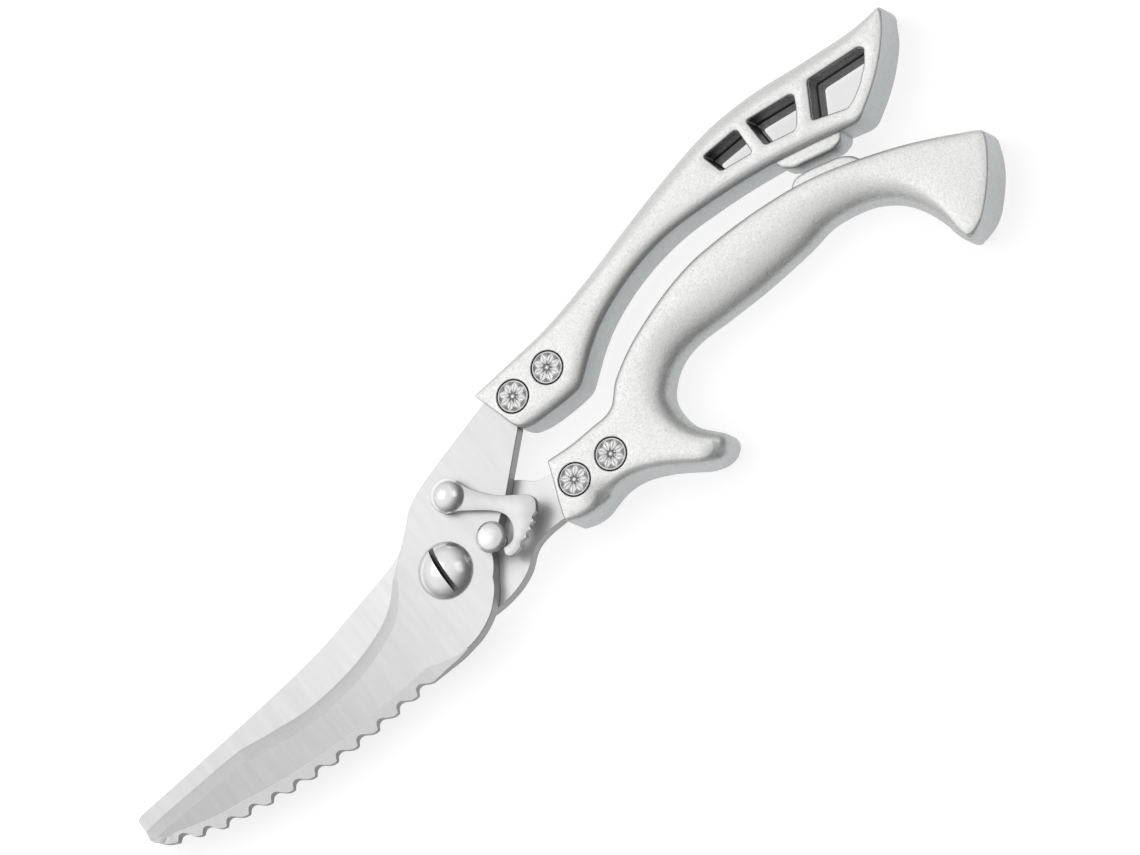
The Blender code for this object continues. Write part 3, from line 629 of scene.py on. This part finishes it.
def handle(name, stretches, radii, windows, back_corners, dents, tang, tang_heights, body):
    """Casting with its windows, rivet seats and tang slot; radii round the stretches' corners."""
    outline = narrowed(rounded([through(s) for s in stretches], radii))
    back = narrowed(softened(outline, back_corners))
    lower = [round_over(back, k / FILLET_STEPS) for k in range(FILLET_STEPS, -1, -1)]
    upper = [round_over(outline, k / FILLET_STEPS) for k in range(FILLET_STEPS + 1)]
    upper = [[(x, y, HANDLE_TOP - z) for x, y, z in ring] for ring in upper]
    bm = bmesh.new()
    rows = wall(bm, lower + upper)
    top_loops, bottom_loops = [rows[-1]], [rows[0]]
    for window in windows:
        edge = rounded_polygon(window[::-1], WINDOW_CORNER)
        rings = []
        for out, z in WINDOW_RINGS:
            rings.append(at_height(inset(edge, [-out] * len(edge)), z))
        edge_rings = rings[:WINDOW_EDGE_RINGS]
        rings += [at_height(ring, HANDLE_TOP - ring[0][2]) for ring in reversed(edge_rings)]
        holes = [[bm.verts.new(p) for p in ring] for ring in rings]
        for k, (low, high) in enumerate(zip(holes, holes[1:])):
            # the window walls between the round-overs take the near-black painted shade
            bridge(bm, high, low, 1 if WINDOW_EDGE_RINGS <= k + 1 <= len(WINDOW_RINGS) else 0)
        bottom_loops.append(holes[0])
        top_loops.append(holes[-1])
    for centre in [place for place, owner, _ in RIVETS.values() if owner == body]:
        for loops, level, side in ((bottom_loops, 0.0, 1), (top_loops, HANDLE_TOP, -1)):
            mouth, bore = circle(centre, SEAT_RADIUS + SEAT_CHAMFER), circle(centre, SEAT_RADIUS)
            heights = (level, level + side * SEAT_CHAMFER, level + side * SEAT_DEPTH)
            rings = [at_height(ring, z) for ring, z in zip((mouth, bore, bore), heights)]
            rows = [[bm.verts.new(p) for p in ring] for ring in rings]
            bridge(bm, rows[0], rows[1])
            # the seat's bore and floor take the near-black painted shade
            bridge(bm, rows[1], rows[2], 2)
            bm.faces.new(rows[2]).material_index = 2
            loops.append(rows[0])
    cap(bm, bottom_loops, -1)
    cap(bm, top_loops, 1, spacing=1.6, crown=0.3)
    dented(bm, dents)
    piece = finish_mesh(
        name + "_casting", bm, body, [name], [CAST, WINDOW_PAINTED_SHADE, RIVET_SEAT_PAINTED_SHADE], 38,
    )
    low, high = tang_heights
    cut(piece, inset(tang, [-TANG_SIDE_GAP] * len(tang)), low - TANG_FACE_GAP, high + TANG_FACE_GAP)


def lug(name, corners, body):
    """Closing stop cast on the inner side of a handle."""
    outline = narrowed([(x, y, LUG_EDGE, 0) for x, y in rounded_polygon(corners, LUG_CORNER)])
    bm = bmesh.new()
    rings = []
    for across, down in ((1, 0), (0.5, 0.1), (0.17, 0.45), (0, 1.0)):
        rings.append(at_height(inset(outline, [p[2] * across for p in outline]), LUG_BACK + down))
    rings += [at_height(ring, HANDLE_TOP - ring[0][2]) for ring in reversed(rings)]
    rows = wall(bm, rings)
    cap(bm, [rows[0]], -1)
    cap(bm, [rows[-1]], 1)
    finish_mesh(name, bm, body, [], [CAST], 40)


# Blades: a rim point is (x, y, grind width, grind drop) and sometimes its inner point

TEETH = 12
TOOTH_DEPTH = 1.6
TOOTH_BAND = 3.1
TOOTH_SLOPE = 0.61
NARROWEST_BAND = 0.15
FIRST_TOOTH_SHARE = 0.68
SHARE_PER_TOOTH = 0.16
SCALLOP = [
    (0.0, 0.0), (0.04, 0.12), (0.1, 0.55), (0.18, 0.88), (0.3, 1.0), (0.42, 0.9), (0.58, 0.5),
    (0.74, 0.14),
]
SCALLOP += [(0.88, 0.0), (1.0, 0.0)]
BEVEL_WIDTH = 4.6
BEVEL_DROP = 3.1
TIP_DROP = 2.6
TIP_DROP_LOSS = 1.2
EDGE_ACROSS = 0.08
EDGE_DOWN = 0.1
RELIEF_RADIUS = 12.6
STUD_NOTCH_RADIUS = 2.05
LATCH_HOLE_RADIUS = 2.15
STUD_HOLE_RADIUS = 1.75

# A grind is a tooth band only on the outer side of this line, and a bevel only if it falls this far
OUTER_SIDE_Y = -2
BEVEL_FROM = 0.3


def ground_point(spot, normal, depth, share=1.0):
    """Rim point of the ground outer edge; share is how much of the full grind's width is left."""
    width = TOOTH_BAND * share + NARROWEST_BAND * (1 - share)
    outer = spot + normal * depth * TOOTH_DEPTH
    inner = spot + normal * width
    return (*outer, 0.0, TOOTH_SLOPE * (width - depth * TOOTH_DEPTH), tuple(inner))


def teeth(base):
    """Scallops along a base curve from the tip to the pivot end, with the ground band's inner point."""
    lengths = [0.0]
    for a, b in zip(base, base[1:]):
        lengths.append(lengths[-1] + math.dist(a, b))
    pitch = lengths[-1] / TEETH
    profile = through(SCALLOP, 3)
    rim = []
    for tooth in range(TEETH):
        for share, depth in profile[:-1]:
            wanted = (tooth + min(max(share, 0), 1)) * pitch
            k = max(i for i in range(len(base) - 1) if lengths[i] <= wanted)
            start = Vector(base[k])
            along = Vector(base[k + 1]) - start
            spot = start + along * ((wanted - lengths[k]) / along.length)
            normal = Vector((-along.y, along.x)).normalized()
            left = min(1.0, FIRST_TOOTH_SHARE + SHARE_PER_TOOTH * (tooth + share))
            rim.append(ground_point(spot, normal, min(max(depth, 0), 1), left))
    return rim


def fading_grind(points):
    """The outer edge after the last tooth, where the ground band runs out."""
    rim = []
    for k, (a, b) in enumerate(zip(points, points[1:])):
        along = Vector(b) - Vector(a)
        normal = Vector((-along.y, along.x)).normalized()
        left = max(0.05, (1 - k / (len(points) - 1)) ** 1.6)
        rim.append(ground_point(Vector(a), normal, 0.0, left))
    return rim


def plate(name, rim, flat_z, ground_z, holes, body, replaced, face):
    """Blade with a flat face at flat_z and grinds that fall from the face at ground_z."""
    up = 1 if ground_z > flat_z else -1
    offsets = inset(rim, [p[2] for p in rim])
    inner = [p[4] if len(p) > 4 else offsets[i] for i, p in enumerate(rim)]
    bm = bmesh.new()
    edge = inset(rim, [EDGE_ACROSS] * len(rim))
    rings = [at_height(edge, flat_z), at_height(rim, flat_z + up * EDGE_DOWN)]
    rings.append([(p[0], p[1], ground_z - up * p[3]) for p in rim])
    rings.append(at_height(inner, ground_z))
    rows = [[bm.verts.new(p) for p in ring] for ring in rings]
    bridge(bm, rows[0], rows[1])
    bridge(bm, rows[1], rows[2])
    count = len(rim)
    for i in range(count):
        j = (i + 1) % count
        band = bm.faces.new((rows[2][i], rows[2][j], rows[3][j], rows[3][i]))
        band.material_index = bevel_kind(rim[i], rim[j])
    flat_loops, ground_loops = [rows[0]], [rows[3]]
    for centre, radius in holes:
        ring = circle(centre, radius)
        lower = [bm.verts.new(p) for p in at_height(ring, flat_z)]
        upper = [bm.verts.new(p) for p in at_height(ring, ground_z)]
        bridge(bm, lower, upper)
        flat_loops.append(lower)
        ground_loops.append(upper)
    cap(bm, flat_loops, -up)
    cap(bm, ground_loops, up)
    finish_mesh(name, bm, body, replaced, [face, BEVEL, TOOTH_GRIND_PAINTED_SHEEN], 12)


def plain(points, across=0.15, down=0.15):
    """Rim points of an edge that is only broken, not ground."""
    return [(*p[:2], across, down) for p in points]


def ground(points):
    """Rim points of the cutting bevel from (x, y, share of the full bevel)."""
    return [(*p[:2], p[2] * BEVEL_WIDTH, p[2] * BEVEL_DROP) for p in points]


def bevel_kind(a, b):
    """Material number between two rim points: 2 on the tooth band, 1 on a bevel, 0 elsewhere."""
    if len(a) > 4 and len(b) > 4 and max(a[1], b[1]) < OUTER_SIDE_Y:
        return 2
    return 1 if max(a[3], b[3]) > BEVEL_FROM else 0


def tip_ground(points, ridge_end, band_start):
    """Rounded blade end, ground between the cutting bevel's ridge and the tooth band."""
    rim = []
    for k, point in enumerate(points):
        share = (k + 1) / (len(points) + 1)
        inner = Vector(ridge_end).lerp(Vector(band_start), share)
        rim.append((*point, 0.0, TIP_DROP - TIP_DROP_LOSS * share, tuple(inner)))
    return rim


def front_blade():
    end = [(-98.8, 3.0), (-99.0, 1.0), (-97.9, -0.5), (-96.8, -2.1), (-95.4, -3.3)]
    tip = tip_ground(through(end, 3), (-96.7, -0.3), (-93.9, -2.6))
    base = through(
        [
            (-93.8, -4.3), (-82.3, -9.6), (-75.9, -11.2), (-64, -14.3), (-45.8, -17.2), (-26, -18.3),
            (-18.6, -18.4),
        ],
        12,
    )
    fading = fading_grind(through([(-18.4, -18.4), (-14.9, -18.7), (-10.3, -19.0), (-7.1, -18.8)], 6))
    belly = through([
        (-7.1, -18.8), (-4.1, -18.5), (-0.4, -17.4), (2.6, -15.9), (5.0, -13.9), (6.9, -11.9),
        (8.15, -9.72),
    ])
    relief = arc(PIVOT, RELIEF_RADIUS, -50, -10.6, 30)
    notch = arc(STUD, STUD_NOTCH_RADIUS, 169.4, 62, 16)
    tang = [
        (15.6, -0.9), (17.0, -0.6), (22.8, 3.6), (31.6, 11.1), (35.4, 14.3), (37.0, 16.4), (57.5, 17.0),
    ]
    tang += [(58.6, 18.2), (58.6, 23.0), (57.5, 24.2), (36.5, 24.6), (33.0, 25.4)]
    back = through([
        (33.0, 25.4), (27.5, 24.4), (17.7, 22.5), (11.7, 21.3), (4.5, 19.3), (1.6, 17.7), (-1.6, 15.0),
    ])
    back += through([(-1.6, 15.0), (-4, 13.2), (-7.0, 10.9), (-9.0, 9.5)])
    cutting = through(
        [
            (-9.2, 9.3, 0.04), (-12.0, 7.9, 0.4), (-15.4, 5.1, 0.66), (-19.8, 2.5, 0.9),
            (-26.5, 0.4, 1), (-34.2, -0.9, 1.03), (-44.4, -1.2, 1.05), (-51.2, -0.7, 1.03),
            (-56.8, 0.5, 1), (-62.5, 1.7, 0.97), (-67.6, 3.0, 0.95),
        ]
    ) + through([
        (-67.6, 3.0, 0.95), (-74.3, 3.5, 1), (-80.7, 3.7, 1), (-87.1, 3.9, 0.98), (-93.4, 4.1, 0.94),
    ])
    cutting_end = []
    for k in range(1, 7):
        share = k / 6
        ridge = (-93.4 - 3.1 * share, -0.2 - 0.1 * share)
        cutting_end.append((-93.4 - 5.3 * share, 4.1 - 0.2 * share, 0.0, 0.94 * BEVEL_DROP, ridge))
    outer = [*tip, *teeth(base), *fading, *plain(belly), *plain(relief), *plain(notch), *plain(tang)]
    rim = joined(outer, plain(back), ground(cutting), cutting_end)
    holes = [(PIVOT, PIVOT_HOLE_RADIUS), (LATCH, LATCH_HOLE_RADIUS)]
    plate(
        "front_blade_ground", rim, FRONT_BACK, FRONT_FRONT, holes, "front half", ["front_blade"], BLADE,
    )


def rear_blade():
    cutting = ground(through([
        (-98.9, 1.5, 0.85), (-80, -2.2, 1), (-55, -5.2, 1), (-30, -7.8, 1), (-18, -9.4, 0.6),
    ]))
    heel = plain(through([
        (-17.5, -9.5), (-13, -10.6), (-6, -13.0), (2, -14.8), (9.6, -14.7), (15, -13.1), (19.8, -9.9),
        (23.5, -9.1), (29.5, -9.3),
    ]))
    tang = plain([
        (31.8, -10.4), (57.0, -12.4), (58.3, -11.2), (58.3, -4.6), (57.0, -3.4), (37.4, -0.6),
        (35.2, 1.2),
    ])
    back = plain(
        through(
            [
                (33.6, 1.7), (30.4, 2.8), (26.8, 6.4), (22, 9.5), (15, 13), (7, 14.6), (0, 14.6),
                (-6.4, 13.4), (-9.5, 12.2), (-15, 11.2), (-22, 10.3), (-37.6, 8.3), (-58, 7.8),
                (-78, 7.9), (-97.5, 8.2),
            ]
        )
    )
    tip = plain([(-98.8, 7.8), (-98.9, 4.0)])
    rim = joined(cutting, heel, tang, back, tip)
    holes = [(PIVOT, PIVOT_HOLE_RADIUS), (STUD, STUD_HOLE_RADIUS)]
    plate(
        "rear_blade_ground", rim, REAR_FRONT, REAR_BACK, holes, "rear half", ["rear_blade"], REAR_BLADE,
    )


# Hardware

LIP_RADIUS = 16.5
EYE_RADIUS = 4.2
EYE_HOLE_RADIUS = 2.08
SAW_DEPTH = 0.7

PIVOT_HEAD_RADIUS = 7.05
PIVOT_HEAD_RIM = 10.4
PIVOT_DOME = 3.4
SLOT_ANGLE = 85
SLOT_HALF_LENGTH = 9
SLOT_HALF_WIDTH = 0.68
SLOT_FLOOR = 11.2
SLOT_CLEAR = 15

LATCH_HEAD_RADIUS = 4.35
LATCH_HEAD_RIM = 12.6
LATCH_DOME = 2.3


def lever():
    lip = arc(PIVOT, LIP_RADIUS, -23.2, -29.0, 6)
    foot = through(
        [(14.45, -8.1), (14.65, -8.95), (15.2, -9.5), (16.2, -9.75), (17.4, -9.72), (18.6, -9.5)], 3,
    )
    tips = [(18.6, -9.5), (21.2, -8.85), (23.35, -8.05), (25.1, -6.95), (26.9, -5.4)]
    saw = []
    for start, end in zip(tips, tips[1:]):
        along = Vector(end) - Vector(start)
        into = Vector((-along.y, along.x)).normalized() * SAW_DEPTH
        notch = [(0, 0), (0.18, 0.6), (0.42, 1.0), (0.7, 0.62), (0.9, 0.2), (1, 0)]
        saw += through([tuple(Vector(start) + along * a + into * d) for a, d in notch], 3)
    side = [
        (26.9, -5.4), (27.7, -4.5), (28.35, -3.5), (28.55, -2.4), (28.3, -1.4), (27.5, -0.45),
        (26.3, 0.7),
    ]
    top = [(24.4, 2.3), (22.1, 4.2), (19.1, 8.0), (17.1, 11.6), (16.2, 14.6)]
    eye = arc(LATCH, EYE_RADIUS, 20, 245, 40)
    hook = [
        (12.3, 8.0), (14.6, 6.0), (17.3, 3.6), (19.3, 1.4), (20.4, -0.6), (20.6, -2.2), (20.2, -4.1),
    ]
    hook += [(19.2, -5.7), (18.0, -6.7), (16.8, -6.95), (15.7, -6.7)]
    outline = joined(foot, saw, through(side + top, 5), eye, through(hook, 5), lip)
    outline = narrowed([(p[0], p[1], 0.25, 0) for p in outline])
    hole = circle(LATCH, EYE_HOLE_RADIUS)
    bm = bmesh.new()
    rings = []
    levels = [(1, LEVER_BACK), (0, LEVER_BACK + 0.2), (0, LEVER_FRONT - 0.25)]
    levels += [(0.3, LEVER_FRONT - 0.08), (1, LEVER_FRONT)]
    for across, z in levels:
        rings.append(at_height(inset(outline, [p[2] * across for p in outline]), z))
    rows = wall(bm, rings)
    low = [bm.verts.new(p) for p in at_height(hole, LEVER_BACK)]
    high = [bm.verts.new(p) for p in at_height(hole, LEVER_FRONT)]
    bridge(bm, high, low)
    cap(bm, [rows[0], low], -1)
    cap(bm, [rows[-1], high], 1)
    finish_mesh("latch_lever_plate", bm, "latch", ["latch_lever"], [BLADE], 25)


def dome(radius, base, rise, steps=14):
    """Profile of a spherical cap from its rim to its top."""
    sphere = (radius**2 + rise**2) / (2 * rise)
    edge = math.asin(radius / sphere)
    profile = []
    for k in range(1, steps):
        tilt = edge * (1 - k / steps)
        profile.append((sphere * math.sin(tilt), base + rise - sphere * (1 - math.cos(tilt))))
    return profile + [(0, base + rise)]


def pivot_screw():
    bm = bmesh.new()
    profile = [(0, 0), (2.3, 0), (2.5, 0.2), (2.5, 2.75), (3.0, 2.75), (3.0, 10.1), (6.9, 10.1)]
    profile += [(PIVOT_HEAD_RADIUS, 10.25), (PIVOT_HEAD_RADIUS, PIVOT_HEAD_RIM)]
    turned(bm, PIVOT, profile + dome(PIVOT_HEAD_RADIUS, PIVOT_HEAD_RIM, PIVOT_DOME, 18), 96)
    piece = finish_mesh(
        "pivot_screw_head", bm, "rear half", ["pivot_screw"], [POLISHED, SLOT_PAINTED_SHADE], 30,
    )
    angle = math.radians(SLOT_ANGLE)
    along = Vector((math.cos(angle), math.sin(angle))) * SLOT_HALF_LENGTH
    across = Vector((-math.sin(angle), math.cos(angle))) * SLOT_HALF_WIDTH
    corners = [along * a + across * b for a, b in ((-1, -1), (1, -1), (1, 1), (-1, 1))]
    # the slot's cut faces take the dark painted shade
    cut(piece, [tuple(c) for c in corners], SLOT_FLOOR, SLOT_CLEAR, SLOT_PAINTED_SHADE)
    edge = piece.modifiers.new("edge", "BEVEL")
    edge.width = 0.12 * MM
    edge.segments = 2
    edge.angle_limit = math.radians(50)


def latch_hardware():
    bm = bmesh.new()
    profile = [(0, 6.6), (3.2, 6.6), (3.2, 7.6), (2.0, 7.6), (2.0, 12.4), (4.25, 12.4)]
    profile += [(LATCH_HEAD_RADIUS, 12.5), (LATCH_HEAD_RADIUS, LATCH_HEAD_RIM)]
    turned(bm, LATCH, profile + dome(LATCH_HEAD_RADIUS, LATCH_HEAD_RIM, LATCH_DOME, 14), 64)
    finish_mesh("latch_rivet_head", bm, "front half", ["latch_rivet"], [POLISHED], 30)
    bm = bmesh.new()
    profile = [
        (0, 1.8), (2.6, 1.8), (3.0, 2.2), (3.0, 2.7), (1.6, 2.7), (1.6, 12.5), (3.75, 12.5),
        (3.9, 12.65), (3.9, 12.9),
    ]
    profile += [(3.8, 13.02), (3.15, 13.6), (3.02, 13.66), (0, 13.72)]
    turned(bm, STUD, profile, 64)
    finish_mesh("latch_stud_head", bm, "rear half", ["latch_stud"], [STUD_FACE], 30)


PETALS = 8
ROSETTE_RADIUS = 4.0
ROSETTE_RINGS = 36
ROSETTE_SEGMENTS = 160
ROSETTE_SINK = 0.28
ROSETTE_DEPTH = 1.15
BACK_ROSETTE_LEVEL = 0.2
KNOB_RADIUS = 0.62
RIM_START, RIM_WIDTH = 3.5, 0.48
PETAL_START, PETAL_LENGTH = 0.75, 2.65


def petal_height(radius, angle):
    """Relief of the rosette above its floor: a knob, petals and a rim, 0 between the petals."""
    if radius < KNOB_RADIUS:
        return 0.36 * math.sqrt(max(0.0, 1 - (radius / KNOB_RADIUS) ** 2)) + 0.02
    if radius > RIM_START:
        return 0.32 * math.sin(math.pi * min(1.0, (radius - RIM_START) / RIM_WIDTH)) ** 0.6
    share = (radius - PETAL_START) / PETAL_LENGTH
    if not 0 < share < 1:
        return 0.0
    half = 1.05 * math.sin(math.pi * share**1.8) ** 0.55
    sector = 2 * math.pi / PETALS
    off = abs((angle + sector / 2) % sector - sector / 2) * radius
    if off > half:
        return 0.0
    rim = math.sqrt(1 - (off / half) ** 2)
    return 0.42 * rim * (1 - 0.55 * math.exp(-((off / 0.2) ** 2)) * (share > 0.25))


def rosette(name, centre, body, turn, level, facing, replaced):
    """Rivet head: a disc with a flower in relief inside a raised rim."""
    bm = bmesh.new()
    rows = []
    for ring in range(1, ROSETTE_RINGS + 1):
        radius = ROSETTE_RADIUS * ring / ROSETTE_RINGS
        row = []
        for k in range(ROSETTE_SEGMENTS):
            angle = 2 * math.pi * k / ROSETTE_SEGMENTS
            x, y = centre[0] + radius * math.cos(angle), centre[1] + radius * math.sin(angle)
            relief = petal_height(radius, angle + turn) - ROSETTE_SINK
            row.append(bm.verts.new((x, y, level + facing * relief)))
        rows.append(row)
    middle = bm.verts.new((*centre, level + facing * (petal_height(0, 0) - ROSETTE_SINK)))
    for k in range(ROSETTE_SEGMENTS):
        bm.faces.new((middle, rows[0][k], rows[0][(k + 1) % ROSETTE_SEGMENTS]))
    for inner, outer in zip(rows, rows[1:]):
        bridge(bm, inner, outer)
    ground = level - facing * 0.27
    for patch in bm.faces:
        if all(facing * (v.co.z - ground) < 0.02 for v in patch.verts):
            patch.material_index = 1
    floor = [bm.verts.new((v.co.x, v.co.y, level - facing * ROSETTE_DEPTH)) for v in rows[-1]]
    bridge(bm, rows[-1], floor)
    bm.faces.new(floor)
    finish_mesh(name, bm, body, replaced, [ROSETTE, ROSETTE_FLOOR], 50)


front_blade()
rear_blade()
handle(
    "front_handle",
    FRONT_HANDLE,
    radii=[2.2, 2.4, 0.4, 0.3],
    windows=WINDOWS,
    back_corners=[(170.4, 31.3), (35.5, 13.0)],
    dents=[],
    tang=FRONT_TANG,
    tang_heights=(FRONT_BACK, FRONT_FRONT),
    body="front half",
)
handle(
    "rear_handle",
    REAR_HANDLE,
    radii=[1.4, 0.5, 1.5],
    windows=[],
    back_corners=[(152.4, -29.5), (170.8, -11.2)],
    dents=[(70.7, -25.8, 1.8, 1.6), (42.2, -13.7, 2.3, 1.6)],
    tang=REAR_TANG,
    tang_heights=(REAR_BACK, REAR_FRONT),
    body="rear half",
)
lug("front_stop_lug", FRONT_LUG, "front half")
lug("rear_stop_lug", REAR_LUG, "rear half")
lever()
pivot_screw()
latch_hardware()
for rivet, (centre, body, turn) in RIVETS.items():
    rosette(rivet + "_rosette", centre, body, turn, HANDLE_TOP, 1, [rivet + "_post"])
    rosette(rivet + "_back_rosette", centre, body, turn, BACK_ROSETTE_LEVEL, -1, [rivet + "_tube"])

CAD_MATERIALS = {
    "pivot_nut": POLISHED,
    "pivot_washer": SPRING,
    "torsion_spring": SPRING,
    "latch_washer": SPRING,
}
for node, material in CAD_MATERIALS.items():
    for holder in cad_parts[node].material_slots:
        holder.material = material


# Stage, light and camera, in metres

FLOOR_HALF_WIDTH = 4
FLOOR_Z = -0.0003


def stage_floor():
    bm = bmesh.new()
    for x, y in ((-1, -1), (1, -1), (1, 1), (-1, 1)):
        bm.verts.new((x * FLOOR_HALF_WIDTH, y * FLOOR_HALF_WIDTH, FLOOR_Z))
    bm.faces.new(bm.verts[:])
    mesh = bpy.data.meshes.new("floor")
    bm.to_mesh(mesh)
    bm.free()
    floor = bpy.data.objects.new("floor", mesh)
    bpy.context.collection.objects.link(floor)
    material, _, shader = nodes_of("pale_floor", (0.5, 0.5, 0.5), 0.9, 0.0)
    shader.inputs["Specular IOR Level"].default_value = 0.0
    shader.inputs["Emission Color"].default_value = (1, 1, 1, 1)
    shader.inputs["Emission Strength"].default_value = 0.68
    mesh.materials.append(material)


def studio_world():
    """Bright ceiling that leans to +Y above a horizon that is darker towards -Y."""
    world = bpy.data.worlds.new("studio")
    bpy.context.scene.world = world
    world.use_nodes = True
    tree = world.node_tree
    place = tree.nodes.new("ShaderNodeTexCoord")
    lean = tree.nodes.new("ShaderNodeVectorMath")
    lean.operation = "DOT_PRODUCT"
    lean.inputs[1].default_value = (-0.26, 0.42, 0.87)
    tree.links.new(place.outputs["Generated"], lean.inputs[0])
    spread = tree.nodes.new("ShaderNodeMapRange")
    spread.inputs["From Min"].default_value = -0.5
    tree.links.new(lean.outputs["Value"], spread.inputs["Value"])
    stops = [(0.0, 0.15), (0.33, 0.15), (0.46, 0.30), (0.62, 0.60), (0.76, 0.94), (1.0, 1.0)]
    tone = ramp(tree, spread.outputs["Result"], stops)
    back = tree.nodes["Background"]
    tree.links.new(tone, back.inputs["Color"])
    back.inputs["Strength"].default_value = 0.9


def softbox(name, direction, distance, size, power, target=(0.04, 0.0, 0.0)):
    data = bpy.data.lights.new(name, "AREA")
    data.shape = "RECTANGLE"
    data.size, data.size_y = size
    data.energy = power
    lamp = bpy.data.objects.new(name, data)
    bpy.context.collection.objects.link(lamp)
    aim = Vector(direction).normalized()
    lamp.location = Vector(target) + aim * distance
    lamp.rotation_mode = "QUATERNION"
    lamp.rotation_quaternion = aim.to_track_quat("Z", "Y")


VIEW_BACK = Vector((0.180, -0.374, 0.910)).normalized()
VIEW_RIGHT = Vector((0.724, -0.576, -0.380)).normalized()
VIEW_CENTRE = Vector((0.0458, 0.0055, 0.010))
VIEW_WIDTH = 0.2747
CAMERA_DISTANCE = 6.0
SENSOR_WIDTH = 36


def camera():
    data = bpy.data.cameras.new("camera")
    data.sensor_width = SENSOR_WIDTH
    data.lens = SENSOR_WIDTH * CAMERA_DISTANCE / VIEW_WIDTH
    data.clip_start, data.clip_end = 0.1, 50
    made = bpy.data.objects.new("camera", data)
    bpy.context.collection.objects.link(made)
    up = VIEW_BACK.cross(VIEW_RIGHT).normalized()
    right = up.cross(VIEW_BACK)
    turn = Matrix((right, up, VIEW_BACK)).transposed()
    made.matrix_world = Matrix.Translation(VIEW_CENTRE + VIEW_BACK * CAMERA_DISTANCE) @ turn.to_4x4()
    bpy.context.scene.camera = made


stage_floor()
studio_world()
softbox("key", (-0.35, 0.45, 0.85), 1.1, (0.7, 0.7), 1.1)
softbox("fill", (0.6, -0.2, 0.8), 1.4, (0.8, 0.5), 0.6)
camera()
bpy.context.scene.view_settings.view_transform = "Standard"
